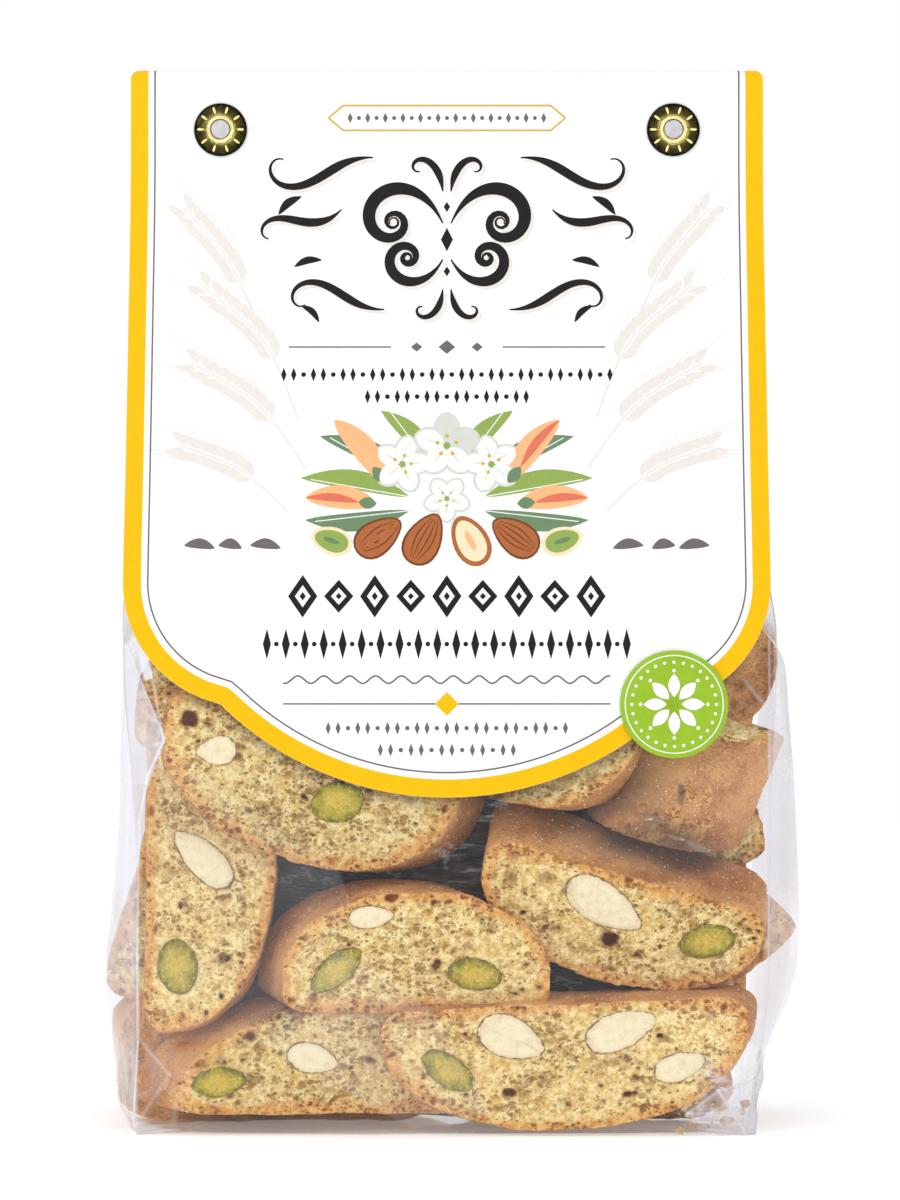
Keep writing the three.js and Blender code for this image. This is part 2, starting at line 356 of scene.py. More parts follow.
@dataclass(frozen=True)
class Signal:
    """A value in a node tree that can be added, multiplied, compared and spread."""

    tree: "Tree"
    socket: bpy.types.NodeSocket

    def __add__(self, other: "Signal | float") -> "Signal":
        """The sum."""
        return self.tree.math("ADD", self, other)

    def __sub__(self, other: "Signal | float") -> "Signal":
        """The difference."""
        return self.tree.math("SUBTRACT", self, other)

    def __mul__(self, other: "Signal | float") -> "Signal":
        """The product."""
        return self.tree.math("MULTIPLY", self, other)

    def over(self, other: "Signal | float") -> "Signal":
        """The greater of the two."""
        return self.tree.math("MAXIMUM", self, other)

    def spread(self, low: "Signal | float", high: "Signal | float") -> "Signal":
        """Stretches low..high to 0..1 smoothly."""
        return self.tree.out("ShaderNodeMapRange", {"Value": self, "From Min": low, "From Max": high},
                             interpolation_type="SMOOTHSTEP")


@dataclass(frozen=True)
class Tree:
    """Builds a node tree, with values and links given by socket name or number."""

    tree: NodeTree

    def node(self, kind: str, values: dict | None = None, **settings) -> Node:
        """Adds a node with its settings, input values and links."""
        node = self.tree.nodes.new(kind)
        for name, value in settings.items():
            setattr(node, name, value)
        for key, value in (values or {}).items():
            self.feed(node.inputs[key], value)
        return node

    def out(self, kind: str, values: dict | None = None, output: int | str = 0, **settings) -> Signal:
        """Adds a node and gives one of its outputs."""
        return Signal(self, self.node(kind, values, **settings).outputs[output])

    def feed(self, socket: bpy.types.NodeSocket, value) -> None:
        """Links a socket, or sets its value."""
        if isinstance(value, Signal):
            self.tree.links.new(value.socket, socket)
        elif isinstance(value, bpy.types.NodeSocket):
            self.tree.links.new(value, socket)
        else:
            socket.default_value = value

    def dress(self, node: Node, **values) -> None:
        """Feeds a node's inputs, with underscores for spaces in their names."""
        for name, value in values.items():
            self.feed(node.inputs[name.replace("_", " ")], value)

    def math(self, operation: str, first, second=0.0, clamp: bool = False) -> Signal:
        """One Math node's result."""
        return self.out("ShaderNodeMath", {0: first, 1: second}, operation=operation, use_clamp=clamp)

    def vector(self, operation: str, first, second=(0.0, 0.0, 0.0)) -> Signal:
        """One Vector Math node's result, a number for a dot product or a length."""
        output = "Value" if operation in ("DOT_PRODUCT", "LENGTH") else "Vector"
        return self.out("ShaderNodeVectorMath", {0: first, 1: second}, output, operation=operation)

    def mix(self, factor, first, second) -> Signal:
        """One colour mixed over another."""
        return self.out("ShaderNodeMix", {0: factor, 6: first, 7: second}, 2, data_type="RGBA")

    def noise(self, scale, detail: float = 3.0, roughness: float = 0.55, place=None,
              output: int | str = 0) -> Signal:
        """A noise texture, over object coordinates unless a place is given."""
        return self.out("ShaderNodeTexNoise", {"Vector": place or self.place(), "Scale": scale,
                                               "Detail": detail, "Roughness": roughness}, output)

    def attribute(self, name: str) -> Signal:
        """A number stored on the mesh."""
        return self.out("ShaderNodeAttribute", output="Fac", attribute_name=name)

    def place(self) -> Signal:
        """Object coordinates, in metres."""
        return self.out("ShaderNodeTexCoord", output="Object")

    def part(self, name: str) -> Signal:
        """One object coordinate, X, Y or Z, in metres."""
        return self.out("ShaderNodeSeparateXYZ", {0: self.place()}, name)

    def bump(self, height, distance: float, strength: float = 1.0) -> Signal:
        """A normal from a height."""
        return self.out("ShaderNodeBump", {"Height": height, "Distance": distance, "Strength": strength})

    def group(self, build: Callable[[str], NodeTree], **values) -> Signal:
        """The first output of a shared group, which is built when it is first asked for."""
        made = bpy.data.node_groups.get(build.__name__) or build(build.__name__)
        node = self.node("ShaderNodeGroup", node_tree=made)
        self.dress(node, **values)
        return Signal(self, node.outputs[0])


def start_material(name: str, **values) -> tuple[Material, Tree, Node]:
    """A new material with its Principled shader's constant values set.

    Args:
        name: the material's name.
        values: socket values, with underscores for spaces in the socket's name.

    Returns:
        The material, its tree and its Principled shader.
    """
    material = bpy.data.materials.new(name)
    material.use_nodes = True
    shader = material.node_tree.nodes["Principled BSDF"]
    tree = Tree(material.node_tree)
    tree.dress(shader, **values)
    return material, tree, shader


def start_group(name: str, kind: str, **inputs: str) -> tuple[Tree, Node, Node]:
    """A new node group.

    Args:
        name: the group's name.
        kind: "Shader" or "Geometry". A shader group puts out one mask, a geometry group its geometry.
        inputs: the kinds of its inputs, by name with underscores for spaces.

    Returns:
        The group's tree, its input node and its output node.
    """
    group = bpy.data.node_groups.new(name, f"{kind}NodeTree")
    if kind == "Geometry":
        group.interface.new_socket("Geometry", in_out="INPUT", socket_type="NodeSocketGeometry")
    for label, socket in inputs.items():
        group.interface.new_socket(label.replace("_", " "), in_out="INPUT", socket_type=f"NodeSocket{socket}")
    label, socket = ("Geometry", "Geometry") if kind == "Geometry" else ("Mask", "Float")
    group.interface.new_socket(label, in_out="OUTPUT", socket_type=f"NodeSocket{socket}")
    tree = Tree(group)
    return tree, tree.node("NodeGroupInput"), tree.node("NodeGroupOutput")


def uneven_pores(name: str) -> NodeTree:
    """A shared group: crowds of pores of uneven size in object coordinates, as a mask."""
    tree, start, end = start_group(name, "Shader", Scale="Float", Most="Float")
    scale = start.outputs["Scale"]
    place = tree.vector("MULTIPLY", tree.place(), (0.8, 1.0, 1.15))
    wander = tree.noise(scale, 3.0, 0.7, place, "Color")
    push = tree.math("DIVIDE", 1.1, scale)
    pushed = tree.out("ShaderNodeMix", {0: push, 4: place, 5: wander}, 1, data_type="VECTOR")
    cells = tree.node("ShaderNodeTexVoronoi", {"Vector": pushed, "Scale": scale})
    chance = tree.out("ShaderNodeSeparateColor", {0: cells.outputs["Color"]})
    crowd = tree.noise(130.0, 2.0, place=place).spread(0.36, 0.62)
    radius = tree.math("POWER", chance, 1.3) * (crowd + 0.45) * start.outputs["Most"]
    mask = Signal(tree, cells.outputs["Distance"]).spread(radius + 0.02, radius * 0.55)
    tree.feed(end.inputs["Mask"], mask)
    return tree.tree


def straight_crease(name: str) -> NodeTree:
    """A shared group: how near a place is to a straight stretch, 1 on it and 0 at the given width."""
    tree, start, end = start_group(name, "Shader", Place="Vector", Start="Vector", End="Vector",
                                   Width="Float")
    from_start = tree.vector("SUBTRACT", start.outputs["Place"], start.outputs["Start"])
    stretch = tree.vector("SUBTRACT", start.outputs["End"], start.outputs["Start"])
    share = tree.math("DIVIDE", tree.vector("DOT_PRODUCT", from_start, stretch),
                      tree.vector("DOT_PRODUCT", stretch, stretch), clamp=True)
    nearest = tree.out("ShaderNodeVectorMath", {0: stretch, "Scale": share}, operation="SCALE")
    away = tree.vector("LENGTH", tree.vector("SUBTRACT", from_start, nearest))
    tree.feed(end.inputs["Mask"], away.spread(start.outputs["Width"], 0.0))
    return tree.tree


# ------------------------------------------------------------------ finishes


@dataclass(frozen=True)
class BiscuitFinish:
    """Porous crumb that browns towards the rim, and a crust dusted with sugar, with painted shade in pores
    and pits, a painted highlight on raised crumbs and painted shadows over whole regions.
    """

    # raised is partly paler grains and partly a painted highlight on raised crumbs; low and deep are partly
    # painted shade in pores and pits; shaded is the painted shade's colour.
    raised: tuple = srgb(252, 232, 170)
    crumb: tuple = srgb(226, 187, 108)
    low: tuple = srgb(160, 108, 40)
    deep: tuple = srgb(92, 44, 14)
    rim: tuple = srgb(218, 150, 74)
    pale_rim: tuple = srgb(240, 197, 120)
    scorched: tuple = srgb(142, 70, 22)
    crust: tuple = srgb(217, 159, 100)
    brown_crust: tuple = srgb(173, 110, 64)
    dust: tuple = srgb(240, 206, 154)
    shaded: tuple = srgb(44, 36, 34)
    pore_crowds: tuple[Triple, ...] = ((420.0, 0.42, 0.5), (820.0, 0.5, 0.85), (1500.0, 0.42, 0.7))

    def material(self) -> Material:
        """Builds the material. It reads the cut, rim and relief numbers and the painted shade number stored
        on each slice; relief and the painted shade number paint shade.
        """
        material, tree, shader = start_material("biscuit", Roughness=0.86, Specular_IOR_Level=0.25)
        large, middling, small = [tree.group(uneven_pores, Scale=scale, Most=most) * strength
                                  for scale, most, strength in self.pore_crowds]
        pores = large.over(middling).over(small)
        lumps = tree.noise(700.0, 4.0, 0.7)
        grit = tree.noise(1700.0, 3.0, 0.7)
        relief = tree.attribute("relief")
        crumb = tree.mix(lumps.spread(0.4, 0.6), self.crumb, self.raised)
        crumb = tree.mix(grit.spread(0.5, 0.34) * 0.4, crumb, self.low)
        crumb = tree.mix(grit.spread(0.55, 0.68) * 0.5, crumb, self.raised)
        crumb = tree.mix(pores, crumb, self.low)
        crumb = tree.mix(relief.spread(0.15, 0.6) * 0.5, crumb, self.low)
        crumb = tree.mix(relief.spread(0.55, 0.95), crumb, self.deep)
        blotch = (tree.noise(260.0, 4.0, 0.65) - 0.5) * 0.9
        patch = (tree.noise(90.0, 2.0) - 0.5) * 0.9
        ragged = tree.attribute("rim") + (blotch + patch)
        tanned = tree.mix(lumps.spread(0.42, 0.64) * 0.8, self.rim, self.pale_rim)
        tanned = tree.mix(pores.over(relief.spread(0.2, 0.7)), tanned, self.scorched)
        crumb = tree.mix(ragged.spread(0.6, 0.16) * 0.9, crumb, tanned)
        charred = ragged.spread(0.2, -0.05) * lumps.spread(0.5, 0.34)
        crumb = tree.mix(charred * 0.8, crumb, self.scorched)
        crust = tree.mix(tree.noise(60.0, 4.0, 0.6).spread(0.4, 0.7), self.crust, self.brown_crust)
        crust = tree.mix(lumps.spread(0.5, 0.32) * 0.3, crust, self.brown_crust)
        crust = tree.mix(grit.spread(0.54, 0.7) * 0.5, crust, self.dust)
        colour = tree.mix(tree.attribute("cut"), crust, crumb)
        colour = tree.mix(tree.attribute("bake"), colour, self.shaded)
        tree.dress(shader, Base_Color=colour, Normal=tree.bump(lumps * 1.2 - pores + grit * 0.5, 0.0006, 0.8))
        return material


@dataclass(frozen=True)
class AlmondFinish:
    """Cut almond flesh, cream with fine rays."""

    flesh: tuple = srgb(243, 229, 190)
    shade: tuple = srgb(216, 190, 146)
    skin: tuple = srgb(104, 78, 62)

    def material(self) -> Material:
        """Builds the material. It reads the core number, 0 in the middle and 1 at the edge."""
        material, tree, shader = start_material("almond_flesh", Roughness=0.5, Specular_IOR_Level=0.4)
        core = tree.attribute("core")
        streaks = tree.noise(620.0, 4.0, 0.7)
        tone = streaks.spread(0.42, 0.7) * 0.5 + core.spread(0.7, 0.98) * 0.35
        ragged = core + (streaks - 0.5) * 0.3
        colour = tree.mix(tone, self.flesh, self.shade)
        colour = tree.mix(ragged.spread(0.945, 0.99) * 0.85, colour, self.skin)
        tree.dress(shader, Base_Color=colour, Normal=tree.bump(streaks, 0.0006, 0.8))
        return material


@dataclass(frozen=True)
class PistachioFinish:
    """Cut pistachio, golden in the middle and olive green at its edge."""

    middle: tuple = srgb(222, 190, 70)
    green: tuple = srgb(182, 166, 38)
    edge: tuple = srgb(124, 114, 24)
    glint: tuple = srgb(238, 224, 132)

    def material(self) -> Material:
        """Builds the material. It reads the core number, 0 in the middle and 1 at the edge."""
        material, tree, shader = start_material("pistachio_flesh", Roughness=0.36, Specular_IOR_Level=0.5)
        mottle = tree.noise(420.0, 4.0, 0.65)
        fine = tree.noise(1300.0, 3.0, 0.6)
        core = tree.attribute("core") + (mottle - 0.5) * 1.5
        colour = tree.mix(core.spread(0.25, 0.7), self.middle, self.green)
        colour = tree.mix(core.spread(0.72, 1.0) * 0.9, colour, self.edge)
        colour = tree.mix(fine.spread(0.56, 0.68) * 0.6, colour, self.glint)
        colour = tree.mix(fine.spread(0.42, 0.3) * 0.5, colour, self.edge)
        tree.dress(shader, Base_Color=colour, Normal=tree.bump(mottle + fine, 0.0011, 1.0))
        return material


@dataclass(frozen=True)
class PlainFinish:
    """A surface of one varied tone: skins, inks, card and metals."""

    name: str
    tone: tuple
    other: tuple
    roughness: float = 0.6
    metallic: float = 0.0
    scale: float = 400.0
    relief: float = 0.00005
    shine: float = 0.5

    def material(self) -> Material:
        """Builds the material."""
        material, tree, shader = start_material(self.name, Roughness=self.roughness, Metallic=self.metallic,
                                                Specular_IOR_Level=self.shine)
        value = tree.noise(self.scale, 4.0, 0.6)
        tree.dress(shader, Base_Color=tree.mix(value.spread(0.3, 0.7), self.tone, self.other),
                   Normal=tree.bump(value, self.relief, 0.6))
        return material


@dataclass(frozen=True)
class Fold:
    """A line where the front film is creased, in the frame's X and Z, painted pale along it: partly the
    film's whitening and partly a painted highlight.
    """

    points: tuple[Point, ...]
    width: float = 0.5
    haze: float = 0.4


@dataclass(frozen=True)
class Veil:
    """A painted soft pale reflection with straight edges on the front film, as a convex outline run
    clockwise.
    """

    corners: tuple[Point, ...]
    haze: float = 0.15


@dataclass(frozen=True)
class FilmFinish:
    """Clear glossy film: Fresnel reflections, and a painted pale layer, partly the film's whitening where it
    is creased and partly painted reflections and glints where it catches the light.
    """

    folds: tuple[Fold, ...]
    veils: tuple[Veil, ...]
    # The pale layer's colours; the shaded one, which takes over towards the right, is painted shade.
    bloom: tuple = srgb(232, 233, 242)
    shaded_bloom: tuple = srgb(212, 209, 219)
    edge_softness: float = 0.35
    least_mirror: float = 0.028

    def crease_masks(self, tree: Tree, place: Signal) -> list[Signal]:
        """One mask for each straight stretch of the creases."""
        return [tree.group(straight_crease, Place=place, Start=(x0 * MM, 0, z0 * MM),
                           End=(x1 * MM, 0, z1 * MM), Width=fold.width * MM) * fold.haze
                for fold in self.folds for (x0, z0), (x1, z1) in zip(fold.points[:-1], fold.points[1:])]

    def veil_masks(self, tree: Tree, place: Signal) -> list[Signal]:
        """One mask for each painted reflection, from its straight edges."""
        masks = []
        soft = self.edge_softness * MM
        for reflection in self.veils:
            mask = reflection.haze
            for (x0, z0), (x1, z1) in zip(reflection.corners, reflection.corners[1:] + reflection.corners[:1]):
                length = math.hypot(x1 - x0, z1 - z0)
                inward = ((z1 - z0) / length, 0, -(x1 - x0) / length)
                offset = (inward[0] * x0 + inward[2] * z0) * MM
                reach = tree.vector("DOT_PRODUCT", place, inward) - offset
                mask = reach.spread(-soft, soft) * mask
            masks.append(mask)
        return masks

    def haze(self, tree: Tree) -> Signal:
        """How pale the film is painted: its stored paleness, the creases, the painted reflections and a few
        broken painted glints.
        """
        flat = tree.vector("MULTIPLY", tree.place(), (1, 0, 1))
        on_front = tree.part("Y").spread(-12 * MM, -20 * MM)
        total = tree.attribute("haze")
        for mask in self.crease_masks(tree, flat) + self.veil_masks(tree, flat):
            total = total + mask * on_front
        # Thin broken painted glints, where the stored glint number asks for them.
        ripples = tree.noise(230.0, 2.0, 0.5, tree.vector("MULTIPLY", tree.place(), (0.4, 0.3, 1.7)))
        ridge = tree.math("ABSOLUTE", ripples - 0.5)
        broken = tree.noise(260.0, 2.0, 0.5).spread(0.44, 0.58)
        total = total + ridge.spread(0.045, 0.006) * broken * tree.attribute("wrinkle")
        cloud = tree.noise(60.0, 2.0).spread(0.2, 0.7)
        return tree.math("MULTIPLY", total, cloud * 0.3 + 0.75, True)

    def material(self) -> Material:
        """Builds the material. It reads the paleness and painted glint numbers stored on the film."""
        material, tree, shader = start_material("clear_film", Roughness=0.35, Base_Color=self.bloom,
                                                Specular_IOR_Level=0.5)
        # Painted shade: the pale layer darkens towards the right.
        shaded = tree.part("X").spread(-25 * MM, 25 * MM)
        tree.dress(shader, Base_Color=tree.mix(shaded, self.bloom, self.shaded_bloom))
        clear = tree.out("ShaderNodeBsdfTransparent")
        shine = tree.out("ShaderNodeBsdfGlossy", {"Roughness": 0.06, "Color": (1, 1, 1, 1)})
        facing = tree.out("ShaderNodeLayerWeight", {"Blend": 0.5}, "Facing")
        mirror = tree.math("POWER", facing, 5.0) * 0.92 + self.least_mirror
        skin = tree.out("ShaderNodeMixShader", {0: mirror, 1: clear, 2: shine})
        with_paleness = tree.out("ShaderNodeMixShader", {0: self.haze(tree), 1: skin, 2: shader.outputs[0]})
        path = tree.node("ShaderNodeLightPath")
        lighting = tree.math("MAXIMUM", path.outputs["Is Shadow Ray"], path.outputs["Is Diffuse Ray"])
        open_to_light = tree.out("ShaderNodeMixShader", {0: lighting, 1: with_paleness, 2: clear})
        tree.dress(material.node_tree.nodes["Material Output"], Surface=open_to_light)
        return material


@dataclass(frozen=True)
class GapFinish:
    """Painted shade for the dark hollow between slices: near-black with brown patches and wrinkle bumps, and
    thin pale painted glints.
    """

    dark: tuple = srgb(36, 27, 22)
    brown: tuple = srgb(100, 60, 30)
    glint: tuple = srgb(246, 249, 255)

    def material(self) -> Material:
        """Builds the material."""
        material, tree, shader = start_material("dark_hollow", Roughness=0.3, Specular_IOR_Level=0.6)
        stretched = tree.vector("MULTIPLY", tree.place(), (0.45, 1.0, 1.5))
        wrinkles = tree.noise(210.0, 3.0, 0.6, stretched)
        ridge = tree.math("ABSOLUTE", wrinkles - 0.5)
        bright = tree.noise(120.0, 2.0, 0.5, stretched)
        colour = tree.mix(tree.noise(45.0, 2.0, 0.5).spread(0.5, 0.66), self.dark, self.brown)
        colour = tree.mix(ridge.spread(0.035, 0.008) * bright.spread(0.48, 0.56) * 0.3, colour, self.glint)
        tree.dress(shader, Base_Color=colour, Normal=tree.bump(wrinkles, 0.002, 1.0))
        return material


@dataclass(frozen=True)
class CardFinish:
    """White coated card, a little greyer where it rolls over its fold, as painted shade."""

    white: tuple = srgb(253, 253, 252)
    mottle: tuple = srgb(250, 250, 249)
    # roll is the colour of the painted shade over the fold.
    roll: tuple = srgb(244, 244, 245)
    fold_low: float = 218.0
    fold_high: float = 226.0

    def material(self) -> Material:
        """Builds the material."""
        material, tree, shader = start_material("white_card", Roughness=0.55, Specular_IOR_Level=0.15)
        value = tree.noise(1500.0)
        colour = tree.mix(value.spread(0.35, 0.65), self.white, self.mottle)
        colour = tree.mix(tree.part("Z").spread(self.fold_low * MM, self.fold_high * MM), colour, self.roll)
        tree.dress(shader, Base_Color=colour, Normal=tree.bump(value, 0.00001, 0.6))
        return material


@dataclass(frozen=True)
class BrassFinish:
    """Pressed brass, bright on its raised parts and nearly black towards its outer edge."""

    bright: tuple = srgb(252, 238, 168)
    olive: tuple = srgb(104, 94, 48)
    black: tuple = srgb(22, 22, 14)

    def material(self) -> Material:
        """Builds the material. It reads a stored number, 0 where bright and 1 where black."""
        material, tree, shader = start_material("brass", Metallic=1.0, Roughness=0.28)
        value = tree.noise(900.0, 4.0, 0.65)
        worn = tree.attribute("worn") + (value - 0.5) * 0.5
        colour = tree.mix(worn.spread(0.1, 0.5), self.bright, self.olive)
        colour = tree.mix(worn.spread(0.42, 0.86), colour, self.black)
        tree.dress(shader, Base_Color=colour, Roughness=worn * 0.2 + 0.2,
                   Normal=tree.bump(value, 0.00012, 0.7))
        return material


def ink(name: str, red: int, green: int, blue: int) -> PlainFinish:
    """A printing ink, a very little uneven."""
    other = srgb(*(max(value - 4, 0) for value in (red, green, blue)))
    return PlainFinish(f"{name}_ink", srgb(red, green, blue), other, 0.5, scale=700.0, relief=0.00001,
                       shine=0.15)


INKS = {name: ink(name, *tone) for name, tone in {
    "yellow": (247, 191, 2), "gold": (216, 176, 84), "black": (34, 30, 32), "grey": (112, 106, 106),
    "beige": (233, 227, 219), "green": (148, 172, 88), "sage": (112, 140, 104), "peach": (246, 186, 132),
    "rose": (226, 120, 92), "brown": (178, 106, 60), "bark": (124, 68, 38), "cream": (244, 226, 190),
    "petal": (243, 243, 238), "shade": (214, 216, 206)}.items()}

ALMOND_SKIN = PlainFinish("almond_skin", srgb(184, 146, 112), srgb(140, 102, 78), 0.75, scale=900.0)
PISTACHIO_SKIN = PlainFinish("pistachio_skin", srgb(122, 122, 46), srgb(150, 116, 66), 0.7, scale=900.0)
SUGAR = PlainFinish("sugar_grain", srgb(250, 240, 220), srgb(240, 222, 190), 0.25, scale=600.0)
CRUMBS = PlainFinish("loose_crumb", srgb(212, 182, 138), srgb(158, 116, 76), 0.85, scale=700.0, relief=0.0003)
PIN_METAL = PlainFinish("pin_metal", srgb(216, 210, 216), srgb(196, 196, 198), 0.5, 0.6, scale=700.0,
                        relief=0.0001)
SEAL_GREEN = PlainFinish("seal_green", srgb(150, 190, 8), srgb(146, 184, 6), 0.4, scale=500.0, relief=0.00001)
SEAL_WHITE = PlainFinish("seal_white", srgb(250, 251, 246), srgb(244, 246, 238), 0.45, scale=500.0,
                         relief=0.00001)


# ------------------------------------------------------------------ the bag's outline


@dataclass(frozen=True)
class BagForm:
    """The gusseted bag's outline at each height, in millimetres, as (height, value) stations."""

    left_crease: tuple[Point, ...] = ((0, 66), (30, 65.6), (62, 66.4), (96, 69.4), (110, 69.8), (128, 67.4),
                                      (170, 66.4), (228, 66))
    right_crease: tuple[Point, ...] = ((0, 62.9), (6, 63.3), (14, 64.4), (26, 66), (40, 66.7), (62, 66.9),
                                       (80, 67.6), (96, 68.8), (106, 69), (117, 67.6), (130, 66.8),
                                       (170, 66.4), (228, 66))
    left_swell: tuple[Point, ...] = ((0, 3.5), (6, 6.8), (13, 7.2), (19, 8.3), (28, 9.8), (35, 9.5),
                                     (42, 8.4), (56, 6.6), (78, 4), (93, 1.8), (104, 1.2), (118, 0), (228, 0))
    right_swell: tuple[Point, ...] = ((0, 1), (6, 1.8), (14, 2.2), (20, 4.4), (28, 7.4), (35, 8.6), (43, 8.8),
                                      (52, 8.6), (64, 8), (77, 6.8), (90, 4.6), (104, 2.6), (118, 0),
                                      (228, 0))
    belly: tuple[Point, ...] = ((0, 28.6), (14, 29.8), (34, 30.6), (52, 29.6), (72, 27.75))
    leaves: tuple[Point, ...] = ((60, 29.2), (72, 28.6), (92, 27.1), (114, 23.9), (142, 16.2), (175, 8),
                                 (199, 2.6), (209, 1.6), (226.4, 1.6))
    covered_from: float = 72.0
    leaf_thickness: float = 0.6
    gap: float = 0.3
    gusset_half_depth: float = 31.0
    fold_from: float = 98.0
    fold_to: float = 132.0
    crown: float = 0.11
    top: float = 226.4

    def depth(self, height: Array) -> Array:
        """Half the bag's depth: its belly low down, and under the card's leaves higher up."""
        covered = along(self.leaves, height) - self.leaf_thickness - self.gap
        return np.where(np.asarray(height) < self.covered_from, along(self.belly, height), covered)

    def crease(self, height: Array, right: Array | bool) -> Array:
        """How far the creases beside the panels stand out from the middle, on the right or on the left."""
        return np.where(right, along(self.right_crease, height), along(self.left_crease, height))

    def front(self, x: Array, z: Array) -> Array:
        """How far the front panel stands from the middle plane."""
        t = np.clip(np.abs(x) / self.crease(z, np.asarray(x) > 0), 0, 1)
        return self.depth(z) * (1 - self.crown * t ** 4)

    def side(self, t: Array, z: Array, right: bool) -> Array:
        """How far a gusset stands from the middle plane. Higher up it folds in flat.

        Args:
            t: place across the gusset, -1 at its front fold and 1 at its back fold.
            z: height.
            right: whether it is the gusset at +X.

        Returns:
            The distance from X = 0.
        """
        folding = smoothstep(self.fold_from, self.fold_to, np.asarray(z, float))
        inset = folding * chord(self.gusset_half_depth, self.depth(z) * (1 - self.crown))
        swell = along(self.right_swell if right else self.left_swell, z)
        return self.crease(z, right) + (swell - inset) * (1 - np.abs(t) ** (2 - folding))

    def inside(self, points: Array, clearance: float) -> Array:
        """Presses points in so that they clear the film by the given distance."""
        x, y, z = np.array(points, float).T
        z = np.maximum(z, clearance)
        y = np.clip(y, -(self.front(x, z) - clearance), self.front(x, z) - clearance)
        t = np.clip(y / (self.depth(z) * (1 - self.crown)), -1, 1)
        left, right = (self.side(t, z, which) - clearance for which in (False, True))
        return np.column_stack([np.clip(x, -left, right), y, z])


FORM = BagForm()


# ------------------------------------------------------------------ biscotti


class Nut(Enum):
    """The nuts in the dough."""

    ALMOND = "almond"
    PISTACHIO = "pistachio"


@dataclass(frozen=True)
class Kernel:
    """A nut that the cut goes through, by its place, size and turn on the cut face."""

    kind: Nut
    u: float
    v: float
    length: float
    width: float
    angle: float
    split: bool = False

    def local(self, u: Array, v: Array) -> tuple[Array, Array]:
        """Places of the cut face in the nut's own axes, 1 long and 1 wide to its outline."""
        a, b = spun(np.column_stack([u - self.u, v - self.v]), -self.angle).T
        return a / (self.length / 2), b / (self.width / 2)

    def taper(self, a: Array) -> Array:
        """The outline's half width where it is a along: almonds narrow to one end."""
        if self.kind is Nut.ALMOND:
            return chord(1, a) * (1 - 0.2 * a - 0.12 * np.maximum(a, 0) ** 2) * 1.02
        return np.maximum(1 - a * a, 0) ** 0.56

    def reach(self, u: Array, v: Array) -> Array:
        """0 in the middle of the nut, 1 at its outline and more outside it."""
        a, b = self.local(u, v)
        r = np.hypot(a, b) + 1e-9
        lean = self.taper(np.clip(a / r, -0.999, 0.999)) / np.sqrt(np.maximum(1 - (a / r) ** 2, 2e-3))
        return np.hypot(a, b / np.maximum(lean, 0.3))

    def rings(self, reaches: Sequence[float], steps: int) -> list[Array]:
        """Places of the cut face on slightly rough outlines of the given reaches."""
        angle = np.linspace(0, math.tau, steps, endpoint=False)
        a = np.cos(angle)
        edge = np.column_stack([a * self.length, np.sign(np.sin(angle)) * self.taper(a) * self.width]) / 2
        broad, fine = (0.035, 0.03) if self.kind is Nut.ALMOND else (0.075, 0.035)
        around = at_level(a * 3, np.sin(angle) * 3, self.u * 7 + self.v)
        rough = layered_noise(around, 5, (broad, 1.1, 0), (fine, 0.4, 1))[:, None]
        return [spun(edge * (1 + rough * reach ** 2) * reach, self.angle) + (self.u, self.v)
                for reach in reaches]


@dataclass(frozen=True)
class Pore:
    """A hole or hollow in the crumb, by its place and half sizes on the cut face."""

    u: float
    v: float
    half_u: float
    half_v: float
    depth: float = 1.0
    # How much painted shade the hole gets.
    dark: float = 0.5


